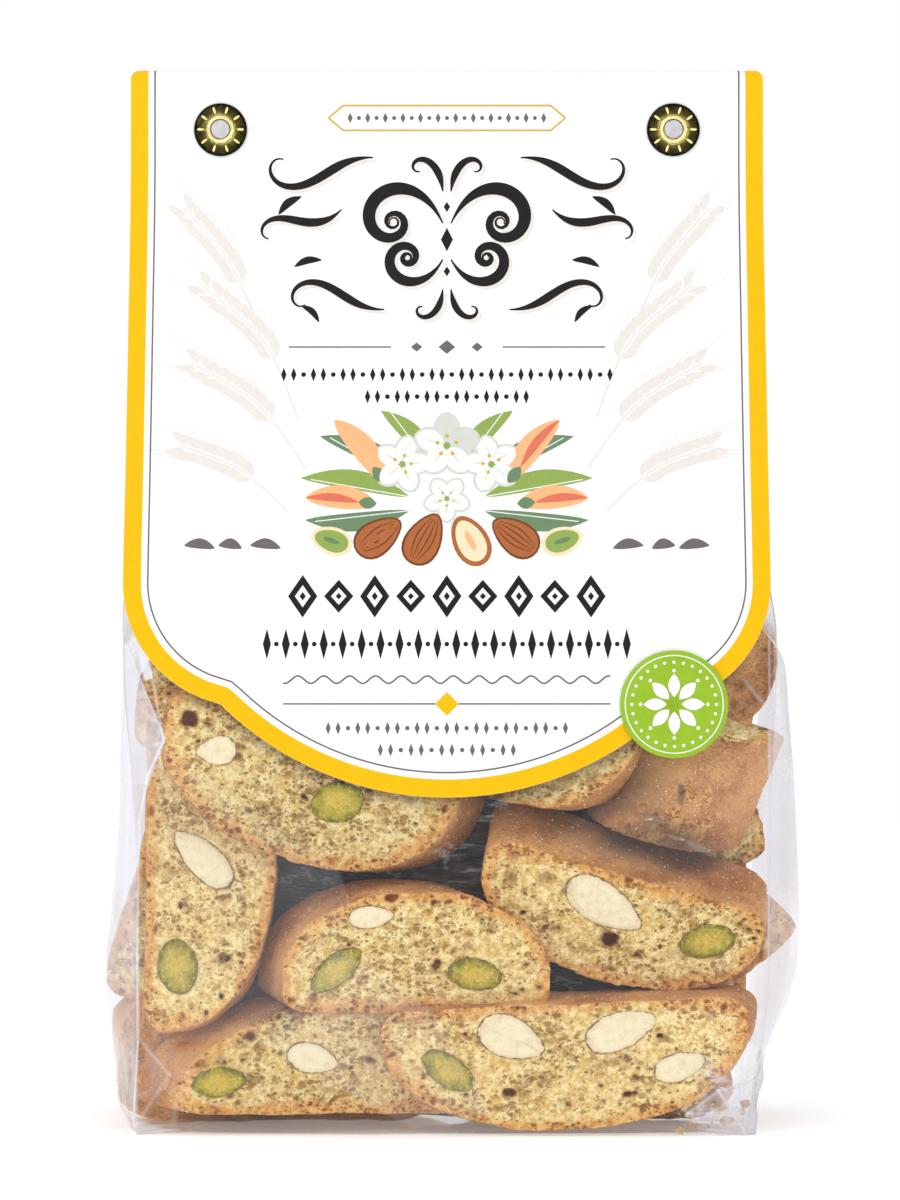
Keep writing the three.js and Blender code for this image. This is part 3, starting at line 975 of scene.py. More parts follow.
@dataclass
class Biscotto:
    """One slice cut on the bias from a flat-bottomed loaf.

    Its own axes are u along the loaf's width, w through the slice from the shown cut and v up to the dome.
    """

    name: str
    centre: Triple
    turn: float = 0.0
    lean: float = 0.0
    swing: float = 0.0
    roll: float = 0.0
    length: float = 70.0
    height: float = 27.0
    thickness: float = 15.0
    bias: float = 0.0
    slant: float = 0.0
    fullness: float = 2.2
    skew: float = 0.0
    kernels: tuple[Kernel, ...] = ()
    pores: tuple[Pore, ...] = ()
    voxel: float = 0.42
    # Painted shade for a slice that lies between the layers, fading out towards the bag's sides.
    bake: float = 0.0
    # Painted shadows: ovals in the frame's X and Z, each with its strength.
    dims: tuple[tuple[float, ...], ...] = ()
    heel: bool = False
    # Ovals where the crust is worn away and the crumb shows.
    worn: tuple[tuple[float, ...], ...] = ()
    seed: int = 1

    corner_height: float = 4.5
    corner_width: float = 6.5
    rim_reach: float = 6.0
    card_shade: float = 0.5
    nut_depth: float = 2.2
    nut_rings: tuple[float, ...] = (0.22, 0.45, 0.66, 0.82, 0.93, 1.0)
    nut_steps: int = 40

    def placed(self, points: Array, clearance: float) -> Array:
        """Points of the slice's own axes in the frame, clear of the film."""
        rotation = (turn_about(1, -self.roll) @ turn_about(2, self.swing) @ turn_about(0, -self.lean)
                    @ turn_about(1, -self.turn))
        return FORM.inside(np.array(self.centre) + points @ rotation.T, clearance)

    def outline(self, steps: int = 220) -> Array:
        """The cut face's outline: a dome on a flat base with round corners, slightly uneven."""
        mid = -self.height / 2 + self.corner_height
        rise = self.height / 2 - mid
        angle = np.linspace(0, math.pi, steps // 2)
        x = self.length / 2 * np.sign(np.cos(angle)) * np.abs(np.cos(angle)) ** (2 / self.fullness)
        v = mid + rise * np.sin(angle) ** (2 / self.fullness)
        dome = np.column_stack([x + self.skew * (v - mid) / rise, v])
        half = self.length / 2 - self.corner_width
        turn = np.linspace(0, math.pi / 2, 9)[1:]
        left = np.column_stack([-half - self.corner_width * np.cos(turn),
                                mid - self.corner_height * np.sin(turn)])
        base = np.linspace(-half, half, steps // 4)[1:-1]
        base = np.column_stack([base, np.full(len(base), mid - self.corner_height)])
        right = np.column_stack([half + self.corner_width * np.sin(turn),
                                 mid - self.corner_height * np.cos(turn)])
        points = np.vstack([dome, left, base, right[:-1]])
        uneven = layered_noise(at_level(*points.T, self.seed * 3.7), self.seed, (0.45, 9.0, 0),
                               (0.2, 3.5, 50))
        outward = points / np.maximum(np.linalg.norm(points, axis=1, keepdims=True), 1e-6)
        return points + outward * uneven[:, None]

    def warp(self, u: Array, v: Array) -> Array:
        """How far the cut face dips below its plane, over its whole breadth."""
        return layered_noise(at_level(u, v, self.seed * 5.3), self.seed, (0.35, 11.0, 7), (0.12, 3.0, 8))

    def scattered_pores(self, face: int) -> list[Pore]:
        """Random small and middling pores over the cut face."""
        random = np.random.default_rng(self.seed * 10 + face)
        area = self.length * self.height * 0.82
        pores = []
        for density, low, high, depth in ((0.2, 0.35, 0.7, 0.75), (0.02, 0.7, 1.3, 0.95)):
            for _ in range(int(area * density)):
                u = (random.random() - 0.5) * self.length
                v = (random.random() - 0.5) * self.height
                size = low + (high - low) * random.random() ** 2
                long = size * (1 + 0.7 * random.random())
                deep = depth * (0.6 + 0.6 * random.random()) * size / high * 1.4
                pores.append(Pore(u, v, long, size, deep, 0.2 + 0.75 * random.random() ** 3))
        return pores

    def relief(self, u: Array, v: Array, face: int) -> tuple[Array, Array]:
        """The crumb's pits and the hollows that hold the nuts.

        Args:
            u: places along the face.
            v: places up the face.
            face: 0 for the shown cut, 1 for the other.

        Returns:
            The depth below the face, and how sunk each place looks, which the material paints as shade: below
            0 raised, up to 1 in a deep hole.
        """
        flat = at_level(u, v, self.seed * 2.9 + face * 40)
        wander_u, wander_v = (0.35 * lattice_noise(flat, 1.3, self.seed + more) for more in (21, 22))
        crumble = layered_noise(flat, self.seed, (0.3, 1.6, 23), (0.16, 0.8, 24), (0.12, 4.5, 25))
        depth = np.maximum(crumble, -0.25)
        dark = np.zeros(len(u))
        for pore in self.scattered_pores(face) + list(() if face else self.pores):
            near = (np.abs(u - pore.u) < pore.half_u * 1.8) & (np.abs(v - pore.v) < pore.half_v * 1.8)
            a = (u[near] - pore.u + wander_u[near]) / pore.half_u
            b = (v[near] - pore.v + wander_v[near]) / pore.half_v
            hollow = np.clip(1.15 - (a * a + b * b), 0, 1) ** 0.7
            depth[near] += pore.depth * hollow
            dark[near] = np.maximum(dark[near], pore.dark * hollow)
        for kernel in () if face else self.kernels:
            # Each nut sits in a sunk bed, which also gets a little painted shade.
            bed = 1 - smoothstep(0.9, 1.0 + 0.7 / kernel.width, kernel.reach(u, v))
            depth = bed * 0.8 + (1 - bed) * depth
            dark = np.maximum(dark, bed * 0.3)
        return depth + self.warp(u, v), crumble * 0.9 + dark

    def rough_body(self) -> Mesh:
        """The sheared prism of the outline, remeshed evenly, in the slice's own axes and millimetres."""
        outline = self.outline()
        front = np.column_stack([outline[:, 0], np.zeros(len(outline)), outline[:, 1]])
        points, faces = between(front, front + (self.bias, self.thickness, self.slant),
                                [tuple(range(len(front)))])
        piece = new_object("rough", make_mesh("rough", points, faces, unit=1.0))
        remesh = piece.modifiers.new("even", "REMESH")
        remesh.mode = "VOXEL"
        remesh.voxel_size = self.voxel
        return evaluated_mesh(piece, self.name)

    def rim_distance(self, u: Array, v: Array) -> Array:
        """How far places of the cut face are from its outline, worked out in parts to save memory."""
        outline = self.outline(700).astype(np.float32)
        nearest = np.full(len(u), 1e9, np.float32)
        for part in np.array_split(outline, len(outline) // 100):
            du = u[:, None].astype(np.float32) - part[None, :, 0]
            dv = v[:, None].astype(np.float32) - part[None, :, 1]
            nearest = np.minimum(nearest, np.sqrt((du * du + dv * dv).min(axis=1)))
        return nearest

    def shade(self, placed: Array) -> Array:
        """How much painted shade each point gets: between the layers, in the listed shadow ovals and under
        the card.
        """
        dim = self.bake * (1 - smoothstep(50, 61, np.abs(placed[:, 0])))
        for *oval, amount in self.dims:
            dim = np.maximum(dim, amount * (1 - smoothstep(0.35, 1.0, from_oval(placed, *oval))))
        line = HeaderCard().edge_line(0.0)
        below = np.interp(placed[:, 0], line[:, 0] - 1, line[:, 1]) - placed[:, 2]
        return np.maximum(dim, self.card_shade * (1 - smoothstep(0, 5, below)) * (placed[:, 1] < 0))

    def build(self, material: Material) -> Piece:
        """The finished slice, with its cut, rim and relief numbers and its painted shade number."""
        mesh = self.rough_body()
        local, normals = read_vectors(mesh), read_vectors(mesh, "normal")
        if np.sum(normals * (local - local.mean(axis=0))) < 0:
            mesh.flip_normals()
            normals = -normals
        share = np.clip(local[:, 1] / self.thickness, 0, 1)
        u, v = local[:, 0] - self.bias * share, local[:, 2] - self.slant * share
        rim = self.rim_distance(u, v)
        flatness = smoothstep(0.55, 0.9, np.abs(normals[:, 1]))
        on_face = flatness * smoothstep(0.1, 0.7, rim)
        moved = local.copy()
        dark = np.zeros(len(u))
        for face, mine in enumerate((share < 0.5, share >= 0.5)):
            depth, dark[mine] = self.relief(u[mine], v[mine], face)
            moved[mine, 1] += (1 - 2 * face) * depth * on_face[mine]
        swell = layered_noise(local, self.seed, (0.38, 9.0, 31), (0.16, 2.2, 32), (0.07, 0.9, 33))
        moved += normals * (1, 0, 1) * (swell * (1 - on_face))[:, None]
        placed = self.placed(moved, 0.45)
        mesh.vertices.foreach_set("co", (placed * MM).astype(np.float32).ravel())
        mesh.polygons.foreach_set("use_smooth", [True] * len(mesh.polygons))
        cut = flatness * smoothstep(0.0, 0.35, rim) * (not self.heel)
        for oval in self.worn:
            patchy = from_oval(placed, *oval) + 0.7 * lattice_noise(placed, 2.6, self.seed + 35)
            cut = np.maximum(cut, 0.85 * (1 - smoothstep(0.7, 1.0, patchy)))
        for name, values in (("cut", cut), ("rim", np.clip(rim / self.rim_reach, 0, 1)), ("relief", dark),
                             ("bake", self.shade(placed))):
            set_attribute(mesh, name, values)
        mesh.update()
        mesh.materials.clear()
        mesh.materials.append(material)
        return new_object(self.name, mesh)

    def add_nuts(self, shapes: dict[Nut, Shape]) -> None:
        """Adds the slice's cut nuts to the shapes that hold every almond and every pistachio."""
        steps = self.nut_steps
        skin_from = steps * len(self.nut_rings)
        reach = np.concatenate([[0.0], np.repeat(self.nut_rings, steps)])
        for number, kernel in enumerate(self.kernels):
            u, v = np.vstack([[[kernel.u, kernel.v]], *kernel.rings(self.nut_rings, steps)]).T
            lumps = at_level(u, v, self.seed + number * 9.0)
            top = (self.warp(u, v) - 0.12 - 0.28 * (1 - reach ** 2) + 0.3 * smoothstep(0.88, 1.0, reach)
                   + layered_noise(lumps, self.seed, (0.14, 2.1, 61), (0.07, 0.9, 62)))
            if kernel.split:
                a, b = kernel.local(u, v)
                top += 0.5 * np.exp(-(b / 0.07) ** 2) * (np.abs(a) < 0.8)
            surface = np.column_stack([u, top, v])
            bottom = surface[-steps:] * (1, 0, 1) + (0, self.nut_depth, 0)
            rings = np.vstack([surface[1:], bottom]).reshape(-1, steps, 3)
            points, faces = loft(surface[0], rings, (kernel.u, self.nut_depth, kernel.v))
            shapes[kernel.kind].add(self.placed(points, 0.4), [tuple(reversed(f)) for f in faces],
                                    lambda face: int(face >= skin_from), np.append(reach, np.ones(steps + 1)))


@dataclass(frozen=True)
class Chip:
    """A broken sliver of almond that sticks out of a slice."""

    place: Triple
    long: float
    wide: float
    turn: float
    rows: int = 9
    columns: int = 16

    def add_to(self, shape: Shape) -> None:
        """Adds the sliver to the almonds' shape."""
        tilt, spin = np.meshgrid(np.linspace(-1.4, 1.4, self.rows),
                                 np.linspace(0, math.tau, self.columns, endpoint=False), indexing="ij")
        points = np.column_stack([(np.sin(tilt) * self.long).ravel(),
                                  (np.cos(tilt) * np.cos(spin)).ravel() * 0.8,
                                  (np.cos(tilt) * np.sin(spin) * self.wide).ravel()])
        points = (points + 0.26 * jitter(points, 1.3, 110)) @ turn_about(1, self.turn).T + self.place
        faces = grid_faces(self.rows, self.columns, wrap=True)
        faces += [tuple(reversed(range(self.columns))), tuple(range(len(points) - self.columns, len(points)))]
        # A core number of 1 colours the slivers with the almond's shade colour patched with skin brown:
        # painted shade.
        shape.add(FORM.inside(points, 0.35), faces, values=np.ones(len(points)))


CHIPS = (Chip((42.8, -25.6, 66.8), 2.6, 0.7, 27), Chip((47.6, -26.0, 62.8), 2.3, 0.5, 20),
         Chip((52.0, -25.9, 60.9), 2.9, 1.0, 26))


def almond(*sizes: float) -> Kernel:
    """A cut almond."""
    return Kernel(Nut.ALMOND, *sizes)


def pistachio(*sizes: float) -> Kernel:
    """A cut pistachio."""
    return Kernel(Nut.PISTACHIO, *sizes)


def holes(*sizes: tuple[float, ...]) -> tuple[Pore, ...]:
    """Pores from their places, half sizes, depths and darknesses."""
    return tuple(Pore(*numbers) for numbers in sizes)


def inner(number: int, *place, **sizes) -> Biscotto:
    """A slice of the middle rows, of coarser make, whose seed follows its number."""
    usual = {"thickness": 14, "voxel": 0.8, "seed": 10 + number}
    return Biscotto(f"biscotto_inner_{number}", *place, **{**usual, **sizes})


# The shadow ovals paint the shadows that neighbouring slices cast, the shade where a crust turns away from
# the light and the dark of a groove.
FRONT_ROW = (
    Biscotto("biscotto_upper_left", (-32.4, -26.5, 72.2), 160.5, -3, length=65.4, height=28.5, thickness=14,
             bias=-6, fullness=2.25, bake=0.1, rim_reach=8, seed=1,
             kernels=(almond(19.2, -2.7, 8.6, 6.0, 25), pistachio(-8.5, -1.0, 11.4, 8.5, 30)),
             pores=holes((26.9, -6.9, 2.3, 2.2, 2.0, 1.1), (23.3, -7.6, 1.9, 1.0, 1.2, 1.0),
                         (22.5, -6.3, 1.7, 1.3, 0.8, 0.4), (15.0, -5.6, 0.9, 1.0, 0.9, 0.6))),
    Biscotto("biscotto_left_upright", (-51.3, -21.0, 58), -90, 10, length=73, height=27.5, thickness=13,
             seed=2, kernels=(almond(-0.1, -1.5, 16.5, 7.2, -134), pistachio(22.8, -6.6, 11.9, 8.4, 11)),
             pores=holes((21.0, 3.1, 1.4, 1.9, 1.7, 0.9), (3.1, -9.0, 2.4, 2.1, 0.8, 0.35),
                         (-10.1, -0.9, 1.1, 1.1, 0.8, 0.5), (8.3, 2.6, 0.9, 0.9, 0.8, 0.5))),
    Biscotto("biscotto_middle", (-7.3, -27.5, 38.7), 0, -6, length=56.5, height=26, thickness=15, bias=-6,
             fullness=2.3, seed=3,
             kernels=(almond(-9.6, 7.5, 9.5, 4.7, 5), pistachio(-17.1, -3.9, 13.2, 6.2, 42),
                      pistachio(12.2, -4.7, 11.8, 6.8, -8)),
             pores=holes((0.5, 1.7, 2.2, 1.2, 0.9, 0.45), (-16.1, 3.0, 1.3, 1.1, 0.9, 0.8),
                         (8.0, 0.5, 0.9, 1.0, 0.7, 0.5))),
    Biscotto("biscotto_right", (34.5, -23.5, 43.5), 163, -12, length=62, height=23.8, thickness=15,
             slant=-5.5, seed=4,
             dims=((28, 67, 17, 7, 0.6), (40, 63, 16, 7, 0.66), (51, 58.5, 12, 5.5, 0.55)),
             kernels=(almond(3.7, -4.3, 18.6, 8.8, 164), pistachio(-19.7, -2.9, 12.1, 7.2, -153)),
             pores=holes((24.6, -4.3, 1.7, 4.2, 1.2, 0.5), (16.9, -5.8, 2.1, 1.6, 0.9, 0.5),
                         (14.7, 1.7, 1.3, 1.2, 0.8, 0.5), (0.0, 3.0, 2.5, 1.9, 2.4, 1.1),
                         (5.4, 6.8, 4.4, 1.4, 0.8, 0.45), (-6.4, 4.2, 1.3, 1.2, 1.0, 0.8),
                         (15.0, 8.3, 1.0, 1.1, 0.9, 0.8), (-14.3, -7.9, 1.1, 1.1, 0.7, 0.4))),
    Biscotto("biscotto_lower_left", (-19, -23.5, 17.0), 0, -2, 8, length=80, height=25.5, thickness=14,
             bias=-8, fullness=1.85, skew=4, bake=0.06, dims=((-42, 26.5, 20, 4.5, 0.4),), seed=5,
             kernels=(pistachio(-30.4, -5.7, 11.8, 6.2, 7), almond(-10.4, -1.0, 11.1, 6.1, -13)),
             pores=holes((-23.7, 3.9, 1.6, 1.1, 1.5, 1.0), (1.1, -1.4, 1.9, 0.9, 1.2, 0.9),
                         (-2.1, -2.9, 1.1, 0.6, 1.0, 0.8), (-21.8, 1.3, 1.7, 1.3, 0.8, 0.35),
                         (8.2, -4.7, 1.1, 0.9, 0.8, 0.5))),
    Biscotto("biscotto_lower_right", (24, -29.0, 14.8), 182, -6, length=78, height=27, thickness=14, bias=-3,
             seed=6,
             kernels=(pistachio(24.8, 0.1, 12.5, 6.8, 141), almond(11.2, -6.4, 14.8, 8.7, 156, True),
                      almond(-11.9, -7.3, 15.8, 7.7, -162), almond(-24.1, 0.9, 11.4, 5.8, -164)),
             pores=holes((-20.7, -5.2, 1.7, 1.3, 0.9, 0.5), (-12.1, -1.3, 1.9, 1.3, 1.0, 0.5),
                         (5.8, 2.7, 3.4, 1.3, 0.8, 0.4), (-10.7, 9.9, 2.5, 1.9, 0.5, 0.25),
                         (-33.9, -11.3, 0.9, 1.2, 1.2, 1.0), (-0.4, 8.2, 0.9, 0.9, 0.9, 0.8),
                         (17.8, -6.4, 1.5, 1.3, 0.7, 0.35))),
    Biscotto("biscotto_under_card", (17, -22.5, 83), 173, 0, -8, length=46, height=28, thickness=8, bias=-5,
             seed=7),
    Biscotto("biscotto_upper_right", (43.5, -11, 63.8), 0, -103, -18, roll=-17, length=34, height=24,
             thickness=26, bias=4,
             dims=((27, 77, 27, 17, 0.72), (43, 62, 17, 7, 0.6), (48.5, 72, 1.3, 3.4, 0.75)),
             worn=((46, 65.5, 9, 4), (50, 71, 4, 4)), seed=8),
)

# The middle rows get painted shade where they lie between the front and back rows.
MIDDLE_ROWS = (
    inner(1, (-36.5, -7, 15.6), 0, 2, 3, length=71, height=30, thickness=15, bias=-4, bake=0.6, fullness=4,
          corner_height=8, corner_width=13, heel=True),
    inner(2, (27, -7, 14.5), 0, 0, -3, length=62, thickness=15, bias=3, bake=0.6),
    inner(3, (-55.5, -6, 51.5), -106.8, length=54.5, bias=2, voxel=0.6),
    inner(4, (60.1, -5, 42.3), -90, length=34, height=30, fullness=1.25, voxel=0.6, heel=True,
          worn=((72, 42, 5, 7),)),
    inner(5, (-19, -4, 70), 180, 0, 2, length=46, bias=3, bake=0.6, heel=True),
    inner(6, (33.5, -3, 67), 4, length=68, bias=-3, bake=0.6),
    inner(7, (-36, -5, 93.5), 0, 4, length=66, thickness=13, bias=3, bake=0.3, voxel=0.7, fullness=3.2),
    inner(8, (40.5, -5, 95), 183, 4, length=62, thickness=13, bias=3, bake=0.3, voxel=0.7, fullness=2.6,
          heel=True),
)


@dataclass
class Core:
    """A lumpy dark filling between the layers that stands in for the shade there, where no light comes in and
    no slice can be told.
    """

    half: Triple = (46.0, 5.0, 48.5)
    height: float = 49.5
    steps: int = 60
    squareness: float = 0.4

    def rounded(self, value: Array) -> Array:
        """A sine or cosine swollen towards a box's corners."""
        return np.sign(value) * np.abs(value) ** self.squareness

    def build(self, material: Material) -> Piece:
        """Builds the filling as a rounded slab with an uneven skin."""
        tilt = np.linspace(-math.pi / 2, math.pi / 2, self.steps)[1:-1, None]
        spin = np.linspace(0, math.tau, 2 * self.steps, endpoint=False)
        ring = np.stack([self.rounded(np.cos(spin)), self.rounded(np.sin(spin)), np.ones(len(spin))], axis=-1)
        rings = ring * self.rounded(np.stack([np.cos(tilt), np.cos(tilt), np.sin(tilt)], axis=-1))
        points, faces = loft((0, 0, -1), rings, (0, 0, 1))
        points = points * self.half + (0, 0, self.height)
        mesh = make_mesh("core", points + 0.8 * jitter(points, 7.0, 90), faces)
        mesh.materials.append(material)
        return new_object("core", mesh)


@dataclass
class Contents:
    """All the slices in the bag: a front row, the same loosely turned round behind, and one between."""

    front_row: tuple[Biscotto, ...] = FRONT_ROW
    middle_rows: tuple[Biscotto, ...] = MIDDLE_ROWS

    def turned(self, slice_: Biscotto, number: int) -> Biscotto:
        """A slice of the back row: a front one turned half round, with other nuts and pores."""
        random = np.random.default_rng(400 + number)
        nuts = []
        for u in (-0.3, 0.02, 0.3):
            kind = Nut.ALMOND if random.random() < 0.5 else Nut.PISTACHIO
            if random.random() < 0.25:
                continue
            nuts.append(Kernel(kind, (u + 0.06 * random.random()) * slice_.length,
                               (random.random() - 0.6) * 0.4 * slice_.height, 11 + 6 * random.random(),
                               6 + 1.8 * random.random(), 180 * random.random() - 90))
        x, y, z = slice_.centre
        return replace(slice_, name=slice_.name.replace("biscotto", "biscotto_back"), centre=(-x, -y, z),
                       swing=slice_.swing + 180, roll=-slice_.roll, bias=-slice_.bias, kernels=tuple(nuts),
                       pores=(), voxel=0.55, seed=slice_.seed + 30)

    def build(self) -> list[Piece]:
        """Builds the filling, the slices and their nuts, and returns the slices."""
        # The dark core is painted shade between the front and back rows.
        keep(Core().build(GapFinish().material()), "crumb", "bag")
        material = BiscuitFinish().material()
        shapes = {kind: Shape() for kind in Nut}
        slices = []
        back_row = tuple(self.turned(slice_, number) for number, slice_ in enumerate(self.front_row))
        for slice_ in self.front_row + self.middle_rows + back_row:
            slices.append(keep(slice_.build(material), "crumb", "bag"))
            slice_.add_nuts(shapes)
        for chip in CHIPS:
            chip.add_to(shapes[Nut.ALMOND])
        for kind, finish, skin in ((Nut.ALMOND, AlmondFinish(), ALMOND_SKIN),
                                   (Nut.PISTACHIO, PistachioFinish(), PISTACHIO_SKIN)):
            piece = shapes[kind].piece(f"{kind.value}s", (finish.material(), skin.material()),
                                       attribute="core")
            keep(piece, kind.value, "bag")
        return slices


# ------------------------------------------------------------------ film


FOLDS = (
    Fold(((-69.2, 103.8), (-60.6, 83.8), (-64.2, 76), (-66, 66), (-66.3, 37.4), (-66.2, 19.6), (-67.4, 0.7)),
         0.45, 0.5),
    Fold(((-64, 100), (-60.8, 83), (-64.4, 73.5)), 0.5, 0.35),
    Fold(((67.4, 107), (67.2, 80), (66.8, 36)), 0.45, 0.4),
    Fold(((62, 96), (72, 83.6)), 0.7, 0.22),
    Fold(((73, 96), (63, 84)), 0.7, 0.2),
    Fold(((-65.5, 20), (-59.5, 13)), 0.7, 0.22),
    Fold(((-59.5, 13), (-67.0, 1.5)), 0.7, 0.18),
    Fold(((49.6, 4.8), (56.2, 9.7), (64, 11.8)), 0.6, 0.35),
    Fold(((56.2, 9.7), (62, 0.6)), 0.6, 0.4),
    Fold(((60.4, 11), (61, 5), (49.6, 4.8)), 0.6, 0.3),
)

# Painted reflections and highlights on the front film.
REFLECTIONS = (
    Veil(((-66, 86), (-24, 56.5), (-21, 49), (-40, 20), (-66, 20)), 0.05),
    Veil(((-24, 40), (-4, 27), (8, 5), (-8, 1.5), (-40, 20)), 0.08),
    Veil(((21, 62), (29, 69), (67, 84), (67, 54), (45, 55)), 0.03),
    Veil(((-69.5, 104), (-60.8, 83.8), (-64.4, 74), (-72, 74)), 0.5),
    Veil(((-64.4, 74), (-65.8, 58), (-73, 38), (-73, 74)), 0.2),
    Veil(((49.6, 4.8), (56.2, 9.7), (64, 12), (64, 0), (56, 0)), 0.25),
    Veil(((-67.2, 104.6), (-65.9, 103.9), (-63.4, 97.5), (-63.4, 96.3), (-65.1, 96.1)), 0.8),
)


@dataclass
class Film:
    """The clear gusseted bag, as one closed sheet with creases, bunching, and painted pale reflections and
    glints.
    """

    folds: tuple[Fold, ...] = FOLDS
    veils: tuple[Veil, ...] = REFLECTIONS
    # Ovals on the front film, each with a strength, where broken glints are painted.
    wrinkled: tuple[tuple[float, ...], ...] = ((0, 58, 10, 6, 0.14), (10, 66, 6, 6, 0.16),
                                               (56, 8, 9, 10, 0.45))
    fine_step: float = 0.85
    coarse_step: float = 4.0
    fine_to: float = 118.0
    panel_columns: int = 156
    side_columns: int = 62
    closing: tuple[float, ...] = (0.2, 0.5, 0.8)
    closing_haze: float = 0.02

    def ring(self, z: float) -> Array:
        """One row of the film's points, anticlockwise from above."""
        across = np.linspace(-1, 1, self.panel_columns, endpoint=False)
        t = np.linspace(-1, 1, self.side_columns, endpoint=False)
        fold_depth = float(FORM.depth(z)) * (1 - FORM.crown)
        walls = []
        for way in (1, -1):
            x = way * across * FORM.crease(z, way * across > 0)
            walls.append(at_level(x, -way * FORM.front(x, z), z))
            walls.append(at_level(way * FORM.side(t, z, way > 0), way * t * fold_depth, z))
        return np.vstack(walls)

    def rows(self) -> Array:
        """The smooth film as rows x columns x 3, its rows close together where it shows."""
        fine = np.arange(0, self.fine_to, self.fine_step)
        coarse = np.linspace(self.fine_to, FORM.top, int((FORM.top - self.fine_to) / self.coarse_step))
        return np.array([self.ring(float(z)) for z in np.concatenate([fine, coarse])])

    def crumple(self, points: Array, is_side: Array) -> tuple[Array, Array]:
        """The film's unevenness and how pale it is painted.

        Args:
            points: N x 3 places on the smooth film.
            is_side: which of them are on the gussets.

        Returns:
            How far each point is lifted outwards, and its painted paleness.
        """
        x, y, z = points.T
        streak = lattice_noise(np.column_stack([x * 0.3 + y, y, z * 0.1]), 6.0, 72)
        broad = lattice_noise(points * (1, 1, 0.4), 9.0, 73)
        # The gussets are painted pale as a painted reflection of the grazing, layered film.
        left = 0.24 + 0.34 * smoothstep(20, 84, z) - 0.3 * smoothstep(90, 106, z)
        right = 0.3 + 0.1 * smoothstep(20, 50, z) - 0.16 * np.exp(-((z - 42) / 7) ** 2)
        gusset_sheen = np.clip(np.where(x < 0, left, right) + 0.06 * streak + 0.1 * broad, 0.1, 0.8)
        haze = 0.012 + is_side * (1 - smoothstep(112, 126, z)) * gusset_sheen
        lift = 0.1 * lattice_noise(points, 14.0, 71)
        lift += is_side * (0.05 * streak + 0.5 * broad) * (1 - smoothstep(92, 108, z))
        corner = smoothstep(46, 55, x) * (1 - smoothstep(11, 19, z))
        corner = (corner + 0.5 * smoothstep(50, 60, -x) * (1 - smoothstep(14, 26, z))) * (y < 0)
        ridges = sum(strength * (1 - 2 * np.abs(lattice_noise(points, size, seed)))
                     for strength, size, seed in ((1, 5.5, 74), (0.5, 2.6, 75)))
        lift += corner * 0.75 * np.clip(ridges, 0, 1.5)
        # The ridges of the crinkled front corners are painted paler: partly crinkle whitening, partly painted
        # highlights.
        return lift, haze + corner * 0.3 * smoothstep(0.5, 1.2, ridges)

    def build(self) -> Piece:
        """Builds the film."""
        rows = self.rows()
        points = rows.reshape(-1, 3)
        x, y, z = points.T
        wall = np.tile(np.arange(rows.shape[1]) % (self.panel_columns + self.side_columns), len(rows))
        is_side = wall >= self.panel_columns
        lift, haze = self.crumple(points, is_side)
        outward = np.column_stack([np.where(is_side, np.sign(x), 0), np.where(is_side, 0, np.sign(y)), 0 * z])
        points = points + outward * lift[:, None]
        points[:, 2] = np.maximum(points[:, 2], 0.02)
        rows = points.reshape(rows.shape)
        low, high = rows[0].mean(axis=0), rows[-1].mean(axis=0)
        bottom = [low + (rows[0] - low) * share for share in self.closing]
        top = [high + (rows[-1] - high) * share for share in reversed(self.closing)]
        points, faces = loft(low, np.array([*bottom, *rows, *top]), high)
        mesh = make_mesh("film", points, faces)
        mesh.materials.append(FilmFinish(self.folds, self.veils).material())
        haze = np.pad(haze, 1 + len(bottom) * rows.shape[1], constant_values=self.closing_haze)
        set_attribute(mesh, "haze", np.clip(haze, 0, 0.92))
        set_attribute(mesh, "wrinkle", sum(amount * (1 - smoothstep(0.6, 1.0, from_oval(points, *oval)))
                                           for *oval, amount in self.wrinkled) * (points[:, 1] < 0))
        return keep(new_object("film", mesh), "film", "bag")


# ------------------------------------------------------------------ header card


